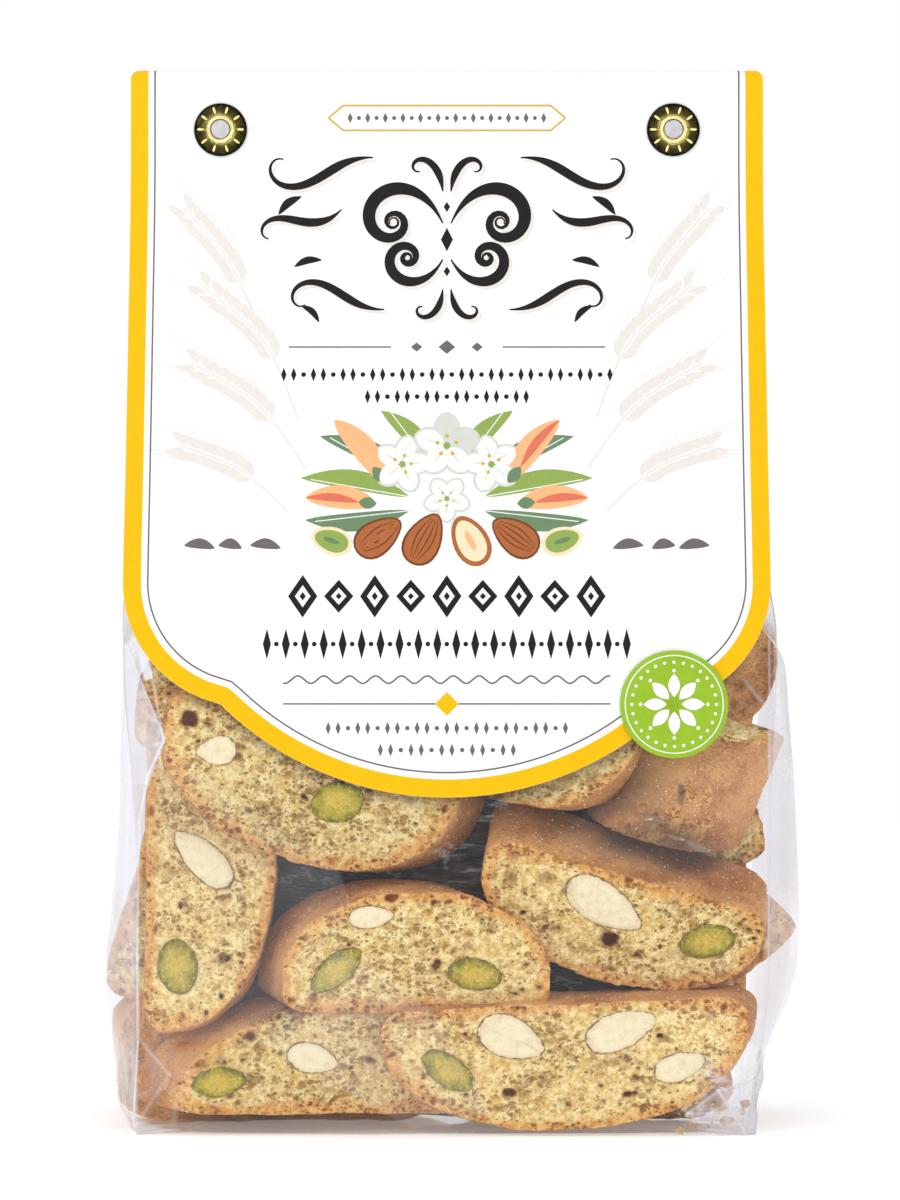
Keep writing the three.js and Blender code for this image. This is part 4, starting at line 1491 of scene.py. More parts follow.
@dataclass
class HeaderCard:
    """The folded card over the bag's mouth: a leaf down each side with a rounded apron."""

    centre_x: float = -1.0
    half_width: float = 68.6
    shoulder: float = 117.0
    shoulder_radius: float = 26.5
    shoulder_centre: float = 42.1
    apron_radius: float = 68.0
    apron_centre: float = 139.4
    top: float = 228.0
    corner_radius: float = 2.0
    fold_radius: float = 1.6
    thickness: float = 0.6
    columns: int = 25

    def half(self, z: Array) -> Array:
        """The leaf's half width at each height."""
        z = np.asarray(z, float)
        drop = np.maximum(self.shoulder - z, 0)
        arc = np.where(drop > self.shoulder_radius, 0,
                       self.shoulder_centre + chord(self.shoulder_radius, drop))
        below = np.maximum(chord(self.apron_radius, self.apron_centre - z), arc)
        near_top = np.maximum(z - (self.top - self.corner_radius), 0)
        inset = self.corner_radius - chord(self.corner_radius, near_top)
        return np.where(z >= self.shoulder, self.half_width, below) - inset

    def depth(self, z: Array) -> Array:
        """How far a leaf's outer face, or the roll over its fold, stands from the middle plane."""
        over = np.clip(np.asarray(z, float) - (self.top - self.fold_radius), 0, self.fold_radius)
        return np.where(over > 0, chord(self.fold_radius, over), along(FORM.leaves, z))

    def path(self) -> Array:
        """The sheet's path in Y and Z from the front leaf's tip, over the fold, to the back leaf's."""
        low = self.apron_centre - self.apron_radius * np.cos(np.linspace(0, 0.78, 32))
        middle = np.linspace(low[-1], self.shoulder, 22)[1:]
        high = np.linspace(self.shoulder, self.top - self.fold_radius, 48)[1:]
        heights = np.concatenate([low, middle, high])
        front = np.column_stack([-self.depth(heights), heights])
        turn = np.linspace(0, math.pi, 9)[1:-1]
        centre = (0, self.top - self.fold_radius)
        roll = np.column_stack([-np.cos(turn), np.sin(turn)]) * self.fold_radius + centre
        return np.vstack([front, roll, front[::-1] * (-1, 1)])

    def build(self) -> Piece:
        """Builds the card."""
        path = self.path()
        across = np.linspace(-1, 1, self.columns)
        x = self.centre_x + self.half(np.minimum(path[:, 1], self.top))[:, None] * across
        sheets = [np.column_stack([x.ravel(), np.repeat(line, self.columns, axis=0)])
                  for line in (path, path - left_of(path) * self.thickness)]
        mesh = make_mesh("header", *between(*sheets, grid_faces(len(path), self.columns)))
        mesh.materials.append(CardFinish().material())
        return keep(recalculate(new_object("header", mesh)), "card", "header_card")

    def on_leaf(self, spots: Array, lift: float, front: bool = True) -> Array:
        """Places of the printed face in the frame.

        Args:
            spots: N x 2, X from the card's middle and height.
            lift: how far above the card's face.
            front: whether it is the front leaf.

        Returns:
            N x 3 places.
        """
        x, z = np.asarray(spots, float).T
        rolled = np.clip((z - (self.top - self.fold_radius)) / self.fold_radius, 0, 1)
        y = self.depth(z) + lift * np.sqrt(1 - rolled ** 2)
        return np.column_stack([self.centre_x + x, -y if front else y, z + lift * rolled])

    def join_height(self) -> float:
        """The height where the shoulder's arc meets the apron's, found by halving."""
        low, high = self.shoulder - self.shoulder_radius + 1e-6, self.shoulder
        for _ in range(50):
            middle = (low + high) / 2
            arc = self.shoulder_centre + chord(self.shoulder_radius, self.shoulder - middle)
            meets_below = arc < chord(self.apron_radius, self.apron_centre - middle)
            low, high = (middle, high) if meets_below else (low, middle)
        return low

    def edge_line(self, inset: float) -> Array:
        """The leaf's side and lower edge, moved in by an inset, from the top left round to the top right."""
        join = self.join_height()
        roll = self.top - self.fold_radius * (1 - np.sin(np.linspace(math.pi / 2, 0, 8)))
        side = np.concatenate([roll, np.linspace(roll[-1], self.shoulder, 60)[1:]])
        side = np.column_stack([np.full(len(side), self.half_width), side])
        a = np.linspace(0, math.acos((self.half(join) - self.shoulder_centre) / self.shoulder_radius), 30)[1:]
        shoulder = np.column_stack([np.cos(a), -np.sin(a)]) * self.shoulder_radius
        a = np.linspace(math.acos((self.apron_centre - join) / self.apron_radius), 0, 46)[1:]
        apron = np.column_stack([np.sin(a), -np.cos(a)]) * self.apron_radius
        right = np.vstack([side, shoulder + (self.shoulder_centre, self.shoulder),
                           apron + (0, self.apron_centre)])
        line = np.vstack([right * (-1, 1), right[::-1][1:]])
        line = line + left_of(line) * inset
        widest = self.half(line[:, 1]) - 0.02
        line[:, 0] = np.where(line[:, 1] > self.shoulder, np.clip(line[:, 0], -widest, widest), line[:, 0])
        return line


@dataclass
class Print:
    """Ink on the card's leaves, as thin plates that follow them.

    Places are given as X from the card's middle and height. A plate's rise is how much higher it lies than
    the first layer of ink.
    """

    card: HeaderCard
    low: float = -0.03
    high: float = 0.05
    step: float = 0.0012
    laid: int = 0
    shapes: dict = field(default_factory=dict)

    def plate(self, tone: str, spots: Array, faces: Faces, rise: float = 0.0, front: bool = True) -> None:
        """Adds a flat shape to an ink, as a closed plate a little proud of the card.

        Args:
            tone: the ink's name.
            spots: N x 2 places.
            faces: the shape's faces, anticlockwise as seen on the front leaf.
            rise: how much higher than the first layer of ink.
            front: whether it is on the front leaf.
        """
        self.laid += 1
        top = self.card.on_leaf(spots, self.high + rise + self.laid % 16 * self.step, front)
        points, faces = between(top, self.card.on_leaf(spots, self.low, front), faces)
        self.shapes.setdefault(tone, Shape()).add(points, [f if front else f[::-1] for f in faces])

    def band(self, tone: str, outer: Array, inner_line: Array, rise: float = 0.0, front: bool = True) -> None:
        """Fills between two lines of equal length."""
        count = len(outer)
        faces = [(i, i + 1, count + i + 1, count + i) for i in range(count - 1)]
        self.plate(tone, np.vstack([outer, inner_line]), faces, rise, front)

    def stroke(self, tone: str, line: Array, widths: Array | float, rise: float = 0.0) -> None:
        """Draws a line of changing width."""
        line = np.asarray(line, float)
        aside = left_of(line) * (np.broadcast_to(widths, len(line)) / 2)[:, None]
        self.band(tone, line - aside, line + aside, rise)

    def oval(self, tone: str, centre: Point, long: float, wide: float, angle: float = 0.0, rise: float = 0.0,
             point: float = 0.0, steps: int = 24) -> None:
        """Draws an oval that may narrow to a point at its long end.

        Args:
            tone: the ink's name.
            centre: its middle.
            long: its length.
            wide: its width.
            angle: how far it is turned, in degrees.
            rise: how much higher than the first layer of ink.
            point: 0 for an even oval, up to 1 for a pointed one.
            steps: how many points its outline has.
        """
        a = np.linspace(0, math.tau, steps, endpoint=False)
        edge = spun(np.column_stack([np.cos(a) * long, np.sin(a) * wide * (1 - point * np.cos(a))]) / 2,
                    angle)
        pairs = [(i, (i + 1) % steps) for i in range(steps)]
        faces = [(0, 1 + i, 1 + j) for i, j in pairs]
        faces += [(1 + i, 1 + steps + i, 1 + steps + j, 1 + j) for i, j in pairs]
        self.plate(tone, np.vstack([[[0, 0]], edge / 2, edge]) + np.array(centre), faces, rise)

    def bead(self, tone: str, centre: Point, wide: float) -> None:
        """Draws a small round bead."""
        self.oval(tone, centre, wide, wide, steps=10)

    def lozenge(self, tone: str, centre: Point, wide: float, tall: float, rise: float = 0.0) -> None:
        """Draws an upright lozenge."""
        corners = np.array([(-wide, 0), (0, -tall), (wide, 0), (0, tall)]) / 2
        self.plate(tone, corners + np.array(centre), [(0, 1, 2, 3)], rise)

    def leaf(self, tone: str, base: Point, tip: Point, wide: float, bend: float = 0.0, rise: float = 0.0,
             fullness: float = 0.75) -> None:
        """Draws a leaf or petal.

        Args:
            tone: the ink's name.
            base: where it starts.
            tip: where it ends.
            wide: its greatest width.
            bend: how far its middle swings to the left.
            rise: how much higher than the first layer of ink.
            fullness: under 1 for round shoulders, over 1 for slim ones.
        """
        t = np.linspace(0, 1, 13)[:, None]
        run = np.array(tip) - np.array(base)
        side = np.array([-run[1], run[0]]) / max(np.hypot(*run), 1e-6)
        middle = np.array(base) + t * run + bend * np.sin(math.pi * t) * side
        aside = side * (wide / 2 * np.sin(math.pi * np.clip(t, 0.004, 0.996)) ** fullness)
        self.band(tone, middle - aside, middle + aside, rise)


def flow(start: Point, heading: float, length: float, bends: Sequence[float], steps: int = 60) -> Array:
    """A brush path whose curvature runs smoothly through the given values.

    Args:
        start: where it starts.
        heading: the way it sets off, in degrees.
        length: how long it is.
        bends: curvatures at even stations, in degrees for each millimetre.
        steps: how many points.

    Returns:
        Its points.
    """
    stride = length / (steps - 1)
    bend = np.interp(np.linspace(0, 1, steps), np.linspace(0, 1, len(bends)), bends)
    angle = math.radians(heading) + np.cumsum(np.radians(bend)) * stride
    path = np.cumsum(np.column_stack([np.cos(angle), np.sin(angle)])[:-1] * stride, axis=0)
    return np.array(start) + np.vstack([[0, 0], path])


def brush(count: int, wide: float, fine: float = 0.25, heavy: float = 0.4) -> Array:
    """A brush stroke's widths: fine ends and a swell at the heavy place."""
    t = np.linspace(0, 1, count)
    swell = np.where(t < heavy, t / heavy, (1 - t) / (1 - heavy))
    return fine + (wide - fine) * np.sin(swell * math.pi / 2) ** 1.4


def sided(side: int, *places: Point) -> list[Point]:
    """Places given for the right half, kept there for side 1 and mirrored to the left one for -1."""
    return [(side * x, z) for x, z in places]


SCROLLS = (
    ((0.9, 194.6), 66, 49, (-2, -5.5, -8.2, -9.8, -13, -21, -38, -66), 2.9),
    ((0.9, 186.6), -62, 36, (3, 8, 11.5, 14, 19, 30, 54, 90), 2.3),
    ((16.0, 209.0), 4, 30, (-4.5, -4, 1, 7, 15, 34), 2.0),
    ((13.5, 175.6), -2, 27, (4.5, 4.5, -1, -8, -18, -40), 1.8),
    ((22.9, 197.6), -48, 22, (5, 8, 4, -5, -18, -44), 1.9),
    ((0.9, 201.6), 84, 14, (-2, -6, -12, -32, -66), 1.6),
    ((0.9, 180.0), -84, 12, (2, 7, 14, 36, 76), 1.4),
)

TICKS = (((31.5, 200.5), (36.5, 196.5), 1.8), ((27.0, 186.5), (33.0, 185.0), 1.6),
         ((27.5, 172.8), (31.5, 176.5), 1.4))

EARS = (((30, 141), (55, 164), 4), ((32, 152), (53, 181), 5), ((40, 170), (57, 198), 3),
        ((34, 132), (57, 146), 3))

LEAVES = (((6, 137), (27, 148), 4.6, 2.0, "sage"), ((8, 135), (31, 139), 4.2, 1.6, "green"),
          ((8, 132), (30, 130), 4.0, -1.4, "sage"), ((3, 141), (14, 153.5), 4.2, 1.6, "green"))


@dataclass
class CardPrint(Print):
    """Everything printed on the card: the yellow border, the keyline and a generic pattern."""

    border_width: float = 3.8
    keyline_inset: float = 5.1
    keyline_width: float = 0.32
    rule_width: float = 0.3

    def build(self) -> None:
        """Builds one piece for each ink."""
        for front in (True, False):
            self.border(front)
        self.banner()
        for side in (-1, 1):
            for root, tip, bend in EARS:
                self.ear(*np.array(sided(side, root, tip), float), side * bend)
        self.flourish()
        self.rows_of_marks()
        self.still_life()
        self.lozenge("yellow", (0, 91.1), 5.0, 5.0, 0.03)
        for side in (-1, 1):
            self.stroke("grey", sided(side, (0.5, 91.1), (34.5, 91.1)), self.rule_width)
        for name, shape in self.shapes.items():
            keep(shape.piece(f"print_{name}", (INKS[name].material(),), smooth=False), "card", "header_card")

    def border(self, front: bool) -> None:
        """The yellow edge and the thin line inside it."""
        lines = [self.card.edge_line(inset) for inset in (0.02, self.border_width, self.keyline_inset,
                                                          self.keyline_inset + self.keyline_width)]
        self.band("yellow", *lines[:2], front=front)
        self.band("grey", *lines[2:], front=front)

    def banner(self) -> None:
        """A narrow frame with pointed ends and a row of beads, near the top."""
        z, half, tall, point = 217.6, 22.5, 2.7, 3.2
        corners = [(half + point, z), (half, z + tall), (-half, z + tall), (-half - point, z),
                   (-half, z - tall), (half, z - tall)]
        for a, b in zip(corners, corners[1:] + corners[:1]):
            self.stroke("gold", np.linspace(a, b, 8), 0.42)
        self.marks(z, half - 1.5, 23, 1.1, 2.2, "grey", bead=0.9, every=2)

    def ear(self, start: Array, end: Array, bend: float) -> None:
        """One faint wheat ear on its stalk."""
        run = end - start
        middle = start + run / 2 + np.array([-run[1], run[0]]) / np.hypot(*run) * bend
        t = np.linspace(0, 1, 30)[:, None]
        line = (1 - t) ** 3 * start + 3 * (1 - t) * t * middle + t ** 3 * end
        self.stroke("beige", line, 0.45, -0.02)
        for number in range(10, 30, 2):
            here = line[number]
            ahead = line[min(number + 1, 29)] - line[number - 1]
            ahead = ahead / np.hypot(*ahead)
            left = np.array([-ahead[1], ahead[0]])
            for hand in (-1, 1):
                tip = here + ahead * 4.2 + left * hand * 2.2
                self.leaf("beige", here + left * hand * 0.5, tip, 1.7, 0.3 * hand, -0.02)
                awn = np.linspace(tip, tip + ahead * 4.5 + left * hand * 1.2, 5)
                self.stroke("beige", awn, 0.22, -0.02)

    def flourish(self) -> None:
        """A black brushed ornament of mirrored scrolls, each with a faint shadow."""
        for side in (-1, 1):
            for start, heading, length, bends, wide in SCROLLS:
                line = flow(start, heading, length, bends) * (side, 1)
                widths = brush(len(line), wide, 0.3, 0.33)
                self.stroke("beige", line + (0.75, -0.75), widths, -0.01)
                self.stroke("black", line, widths, 0.02)
            for base, tip, wide in TICKS:
                self.leaf("black", *sided(side, base, tip), wide, side * 0.7, 0.02)
        for z, wide, tall in ((191.0, 2.6, 5.2), (184.0, 1.4, 2.2), (198.2, 1.4, 2.2)):
            self.lozenge("black", (0, z), wide, tall, 0.02)

    def marks(self, z: float, half: float, count: int, wide: float, tall: float, tone: str = "black",
              bead: float = 0.0, every: int = 3) -> None:
        """A row of lozenges with beads between them.

        Args:
            z: its height.
            half: half its length.
            count: how many marks it has.
            wide: a lozenge's width.
            tall: a lozenge's height.
            tone: the ink's name.
            bead: a bead's width, or 0 for a little less than a lozenge's.
            every: which of the marks are beads.
        """
        for number, x in enumerate(np.linspace(-half, half, count)):
            if number % every == every - 1:
                self.bead(tone, (x, z), bead or wide * 0.9)
            else:
                self.lozenge(tone, (x, z), wide, tall)

    def rows_of_marks(self) -> None:
        """Rows of small shapes where a pack carries its wording."""
        for side in (-1, 1):
            self.stroke("grey", sided(side, (12, 167.4), (34, 167.4)), self.rule_width)
            for x, long in ((38.5, 6.5), (46.0, 5.0), (52.5, 6.5)):
                self.leaf("grey", *sided(side, (x - long / 2, 124.0), (x + long / 2, 124.6)), 2.2, side * 0.7)
        for x, wide, tall in ((-6.5, 2.4, 2.0), (0, 3.6, 3.0), (6.5, 2.4, 2.0)):
            self.lozenge("grey", (x, 167.4), wide, tall)
        self.marks(161.4, 35, 34, 1.15, 3.0)
        self.marks(156.6, 17, 17, 1.15, 3.0)
        for number, x in enumerate(np.linspace(-30.5, 30.5, 9)):
            tall = 7.0 if number % 2 else 9.0
            for tone, wide, share, rise in (("black", 6.2, 1, 0), ("petal", 3.3, 0.52, 0.02),
                                            ("black", 1.3, 0.2, 0.04)):
                self.lozenge(tone, (x, 113.8), wide, tall * share, rise)
        self.marks(103.7, 38, 39, 1.7, 6.4, bead=1.0, every=2)
        wave = np.linspace(-34.5, 34.5, 140)
        self.stroke("grey", np.column_stack([wave, 96.2 + 0.8 * np.sin(wave * 1.15)]), 0.34)
        self.marks(86.0, 25, 25, 1.05, 2.7, "grey")
        self.marks(81.4, 14, 14, 1.05, 2.7, "grey")

    def blossom(self, centre: Point, size: float, turn: float) -> None:
        """A white five-petalled blossom with a shaded edge and a yellow eye."""
        for number in range(5):
            way = np.array(cos_sin(turn + 72 * number))
            base, tip = (np.array(centre) + way * size * share for share in (0.1, 1.0))
            self.leaf("shade", base, tip + way * 0.3, size * 0.82, 0.0, 0.03, 0.55)
            self.leaf("petal", base, tip - way * 0.2, size * 0.66, 0.0, 0.045, 0.55)
            self.stroke("shade", np.linspace(base, base + way * size * 0.5, 5), 0.22, 0.055)
            heart = np.array(centre) + way * size * 0.3
            self.oval("gold", heart, size * 0.13, size * 0.13, 0, 0.065, steps=8)
        self.oval("green", centre, size * 0.22, size * 0.22, 0, 0.06, steps=12)

    def nut(self, centre: Point, long: float, angle: float, *layers: tuple) -> None:
        """Ovals over one another, each an ink, its share of the length, its width, its rise and its point."""
        for tone, share, wide, rise, point in layers:
            self.oval(tone, centre, long * share, long * wide, angle, rise, point)

    def shelled_almond(self, centre: Point, long: float, angle: float) -> None:
        """A brown almond with fine dark stripes."""
        self.nut(centre, long, angle, ("bark", 1, 0.64, 0.05, 0.28), ("brown", 0.93, 0.56, 0.065, 0.28))
        a = np.linspace(-0.4, 0.4, 9)
        for share in (-0.32, -0.12, 0.1, 0.3):
            line = np.column_stack([a * long, share * long * 0.5 * np.cos(a * 3.0)])
            self.stroke("bark", spun(line, angle) + np.array(centre), brush(9, 0.32, 0.1, 0.5), 0.08)

    def nut_half(self, centre: Point, long: float, angle: float, *tones: str) -> None:
        """A split nut: a pale shell or skin, flesh in it and a seam, in the given inks."""
        layers = ((1, 0.66, 0.05, 0.15), (0.82, 0.5, 0.065, 0.15), (0.4, 0.12, 0.08, 0))
        self.nut(centre, long, angle, *((tone, *layer) for tone, layer in zip(tones, layers)))

    def bud(self, base: Point, tip: Point, wide: float, bend: float) -> None:
        """A peach bud with a rose heart."""
        middle = np.array(base) * 0.75 + np.array(tip) * 0.25
        self.leaf("peach", base, tip, wide, bend, 0.03, 0.6)
        self.leaf("rose", middle, tip, wide * 0.36, bend * 0.7, 0.045)
        self.leaf("sage", base, middle, wide * 0.5, 0, 0.055)

    def still_life(self) -> None:
        """Blossoms, buds, leaves and nuts in a low symmetrical garland."""
        for side in (-1, 1):
            for base, tip, wide, bend, tone in LEAVES:
                base, tip, vein = sided(side, base, tip, (tip[0] - 2, tip[1] - 0.3))
                self.leaf(tone, base, tip, wide, side * bend, 0.01)
                self.stroke("petal", np.linspace(base, vein, 8), 0.22, 0.02)
            self.bud(*sided(side, (13, 138), (24, 151.5)), 5.2, side * 1.0)
            self.bud(*sided(side, (15, 133.5), (30, 134.8)), 5.0, side * 0.8)
            self.blossom((side * 9.5, 142.0), 6.2, 90 + side * 14)
            self.nut_half((side * 24.5, 125.6), 9.0, 90 - side * 72, "cream", "green", "sage")
            self.shelled_almond((side * 14.5, 126.5), 11.5, 90 + side * 54)
        self.blossom((0, 146.0), 7.0, 90)
        self.shelled_almond((-4.8, 126.0), 12.0, 62)
        self.nut_half((5.0, 125.6), 11.5, 118, "brown", "cream", "peach")
        self.blossom((0, 134.6), 5.0, 54)


# ------------------------------------------------------------------ rivets and seal


def finish_geometry(tree: Tree, end: Node, instances: Signal,
                    material: Material) -> NodeTree:
    """Ends a geometry tree: its instances are made real and given their material."""
    real = tree.out("GeometryNodeRealizeInstances", {0: instances})
    tree.feed(end.inputs[0], tree.out("GeometryNodeSetMaterial", {"Geometry": real, "Material": material}))
    return tree.tree


def grown(name: str, mesh: Mesh, group: NodeTree, **values) -> Mesh:
    """The plain mesh that a geometry tree makes.

    Args:
        name: the new mesh's name.
        mesh: what the tree starts from.
        group: the tree.
        values: its inputs by name, with underscores for spaces.

    Returns:
        The mesh.
    """
    carrier = new_object(name + "_carrier", mesh)
    modifier = carrier.modifiers.new("grown", "NODES")
    modifier.node_group = group
    for item in group.interface.items_tree:
        label = item.name.replace(" ", "_")
        if item.item_type == "SOCKET" and item.in_out == "INPUT" and label in values:
            modifier[item.identifier] = values[label]
    return evaluated_mesh(carrier, name)


def ring_of_beads(name: str, material: Material, **values) -> Piece:
    """Long beads round a ring in the XZ plane, pointing outwards, made by a geometry tree.

    Args:
        name: the piece's name.
        material: the beads' material.
        values: the tree's inputs, which are the count, the ring's radius, a bead's size, and the ring's
            centre and tilt.

    Returns:
        The beads as a plain mesh.
    """
    tree, start, end = start_group(f"{name}_tree", "Geometry", Count="Int", Ring_Radius="Float",
                                   Bead_Size="Vector", Centre="Vector", Tilt="Float")
    ring = tree.out("GeometryNodeMeshCircle", {"Vertices": start.outputs["Count"],
                                               "Radius": start.outputs["Ring Radius"]})
    bead = tree.out("GeometryNodeMeshUVSphere", {"Segments": 10, "Rings": 6, "Radius": 1.0})
    facing = tree.out("FunctionNodeAlignRotationToVector", {"Vector": tree.out("GeometryNodeInputPosition")},
                      axis="X")
    beads = tree.out("GeometryNodeInstanceOnPoints", {"Points": ring, "Instance": bead, "Rotation": facing,
                                                      "Scale": start.outputs["Bead Size"]})
    upright = tree.out("GeometryNodeTransform", {"Geometry": beads, "Rotation": (math.pi / 2, 0.0, 0.0)})
    lean = tree.out("ShaderNodeCombineXYZ", {0: start.outputs["Tilt"]})
    placed = tree.out("GeometryNodeTransform", {"Geometry": upright, "Translation": start.outputs["Centre"],
                                                "Rotation": lean})
    group = finish_geometry(tree, end, placed, material)
    mesh = grown(name, bpy.data.meshes.new(f"{name}_start"), group, **values)
    mesh.polygons.foreach_set("use_smooth", [True] * len(mesh.polygons))
    return new_object(name, mesh)


def turned(profile: Sequence[Point], steps: int = 72) -> tuple[Array, Faces]:
    """Points and faces turned about the Y axis from (radius, y) points that close on themselves."""
    spin = np.linspace(0, math.tau, steps, endpoint=False)
    points = np.vstack([np.column_stack([r * np.cos(spin), np.full(steps, y), r * np.sin(spin)])
                        for r, y in profile])
    faces = grid_faces(len(profile) + 1, steps, wrap=True)
    return points, [tuple(i % len(points) for i in face) for face in faces]


class Side(Enum):
    """Which of the card's two rivets, by its side of the middle."""

    LEFT = -1
    RIGHT = 1


@dataclass
class Rivet:
    """A pressed brass eyelet with radial ribs and a rolled collar round the end of its pin.

    Its profile is given as radius, place behind or before the card, and how black it is.
    """

    side: Side
    spacing: float = 98.2
    centre_x: float = -1.0
    height: float = 215.0
    face: float = -1.9
    ribs: int = 10
    rib_ring: float = 4.25
    rib_lift: float = 0.56
    rib_size: Triple = (0.95, 0.4, 0.62)
    steps: int = 72
    profile: tuple[Triple, ...] = (
        (2.3, 0.0, 1.0), (5.4, 0.0, 1.0), (5.7, -0.08, 1.0), (5.74, -0.2, 0.95), (5.5, -0.36, 0.85),
        (5.0, -0.5, 0.72), (4.4, -0.58, 0.68), (3.8, -0.62, 0.58), (3.3, -0.72, 0.4), (3.06, -1.0, 0.16),
        (2.98, -1.35, 0.0), (2.7, -1.6, 0.0), (2.42, -1.6, 0.0), (2.2, -1.35, 0.25), (2.12, -0.9, 0.4))

    def build(self) -> None:
        """Builds the cap and its ribs, and gives the pin its metal."""
        side = self.side.name.lower()
        centre = np.array([self.centre_x + self.spacing / 2 * self.side.value, self.face, self.height])
        node = f"rivet_cap_{side}"
        brass = BrassFinish().material()
        points, faces = turned([(r, y) for r, y, _ in self.profile], self.steps)
        worn = np.repeat([worn for _, _, worn in self.profile], self.steps)
        cap = Shape().add(points + centre, faces, values=worn)
        keep(recalculate(cap.piece(f"rivet_{side}", (brass,), attribute="worn")), "brass", node)
        keep(ring_of_beads(f"rivet_ribs_{side}", brass, Count=self.ribs, Ring_Radius=self.rib_ring * MM,
                           Bead_Size=[size * MM for size in self.rib_size], Tilt=0.0,
                           Centre=list((centre - (0, self.rib_lift, 0)) * MM)), "brass", node)
        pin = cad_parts[f"rivet_pin_{side}"]
        pin.data.materials.clear()
        pin.data.materials.append(PIN_METAL.material())


@dataclass
class Seal:
    """A round green sticker across the card's edge, with a white ring, dots and a rosette."""

    radius: float = 11.4
    centre_x: float = 46.9
    height: float = 91.0
    back: float = -27.6
    thickness: float = 0.3
    raised: float = 0.04
    dots: int = 28
    dot_ring: float = 8.9
    dot_size: Triple = (0.36, 0.36, 0.05)
    petals: tuple[Triple, ...] = ((1.6, 6.4, 2.5), (6.7, 7.5, 0.8))
    petal_turns: int = 8
    ring_share: Point = (0.895, 0.915)
    sunk: float = 0.02
    bevel: float = 0.08
    hub: float = 0.02
    steps: int = 120

    def tilt(self) -> float:
        """How far the sticker leans back with the leaf."""
        rise = 8.0
        low, high = along(FORM.leaves, np.array([self.height - rise, self.height + rise]))
        return -math.atan((low - high) / (2 * rise))

    def placed(self, points: Array) -> Array:
        """Points given about the sticker's middle, in the frame."""
        return points @ turn_about(0, math.degrees(self.tilt())).T + (self.centre_x, self.back, self.height)

    def petal(self, angle: float, start: float, end: float, wide: float) -> tuple[Array, Faces]:
        """A thin closed petal on the sticker's face, pointing away from its middle."""
        t = np.linspace(0, 1, 9)
        half = wide / 2 * np.sin(math.pi * np.clip(t, 0.01, 0.99)) ** 0.8
        side = np.column_stack([start + (end - start) * t, -half])
        x, z = spun(np.vstack([side, side[::-1] * (1, -1)]), angle).T
        top = np.column_stack([x, np.full(len(x), -self.thickness - self.raised), z])
        points, faces = between(top, top + (0, 2 * self.raised, 0), [tuple(range(len(top)))])
        return self.placed(points), faces

    def build(self) -> None:
        """Builds the sticker and its marks."""
        r, t = self.radius, self.thickness
        disc = ((self.hub, 0.0), (r - self.bevel, 0.0), (r, -self.bevel), (r, -t + 0.1), (r - 0.1, -t),
                (self.hub, -t))
        within, beyond = (r * share for share in self.ring_share)
        ring = ((within, -t + self.sunk), (beyond, -t + self.sunk), (beyond, -t - self.raised),
                (within, -t - self.raised))
        points, faces = turned(disc, self.steps)
        piece = Shape().add(self.placed(points), faces).piece("seal_disc", (SEAL_GREEN.material(),))
        keep(recalculate(piece), "seal_paper", "seal")
        points, faces = turned(ring, self.steps)
        marks = Shape().add(self.placed(points), faces)
        for start, end, wide in self.petals:
            for number in range(self.petal_turns):
                marks.add(*self.petal(360 / self.petal_turns * number, start, end, wide))
        piece = marks.piece("seal_rosette", (SEAL_WHITE.material(),), smooth=False)
        keep(recalculate(piece), "seal_paper", "seal")
        middle = self.placed(np.array([[0, -t, 0]]))[0]
        keep(ring_of_beads("seal_dots", SEAL_WHITE.material(), Count=self.dots,
                           Ring_Radius=self.dot_ring * MM, Bead_Size=[size * MM for size in self.dot_size],
                           Centre=list(middle * MM), Tilt=self.tilt()), "seal_paper", "seal")


# ------------------------------------------------------------------ sugar and crumbs


def scatter_tree(name: str, material: Material, limit: str, test: str) -> NodeTree:
    """A geometry tree that scatters small grains over a surface.

    Args:
        name: the tree's name.
        material: the grains' material.
        limit: the stored number that says where they lie.
        test: "GREATER_THAN" or "LESS_THAN", for where that number is over or under a half.

    Returns:
        The tree, with its density, sizes and seed as named inputs.
    """
    tree, start, end = start_group(name, "Geometry", Density="Float", Least_Size="Float", Most_Size="Float",
                                   Seed="Int")
    given = start.outputs
    number = tree.out("GeometryNodeInputNamedAttribute", {"Name": limit}, data_type="FLOAT")
    chosen = tree.out("FunctionNodeCompare", {0: number, 1: 0.5}, data_type="FLOAT", operation=test)
    spots = tree.out("GeometryNodeDistributePointsOnFaces", {
        "Mesh": given["Geometry"], "Selection": chosen, "Density": given["Density"], "Seed": given["Seed"]})
    grain = tree.out("GeometryNodeMeshIcoSphere", {"Radius": 1.0, "Subdivisions": 1})
    turn = tree.out("FunctionNodeRandomValue", {1: (math.tau, math.tau, math.tau), "Seed": given["Seed"]},
                    data_type="FLOAT_VECTOR")
    size = tree.out("FunctionNodeRandomValue", {2: given["Least Size"], 3: given["Most Size"],
                                                "Seed": given["Seed"]}, 1, data_type="FLOAT")
    placed = tree.out("GeometryNodeInstanceOnPoints", {"Points": spots, "Instance": grain, "Rotation": turn,
                                                       "Scale": size})
    return finish_geometry(tree, end, placed, material)


def scattered(mesh: Mesh, group: NodeTree, density: float, least: float, most: float,
              seed: int) -> tuple[Array, Faces]:
    """The grains that a tree scatters over a mesh.

    Args:
        mesh: what they lie on.
        group: the tree.
        density: how many lie on a square millimetre.
        least: the smallest one's radius.
        most: the largest one's radius.
        seed: which scattering.

    Returns:
        Their points in millimetres and their faces.
    """
    grains = grown("grains", mesh, group, Density=density / MM ** 2, Least_Size=least * MM,
                   Most_Size=most * MM, Seed=seed)
    points, faces = read_vectors(grains) / MM, [tuple(polygon.vertices) for polygon in grains.polygons]
    bpy.data.meshes.remove(grains)
    return points, faces


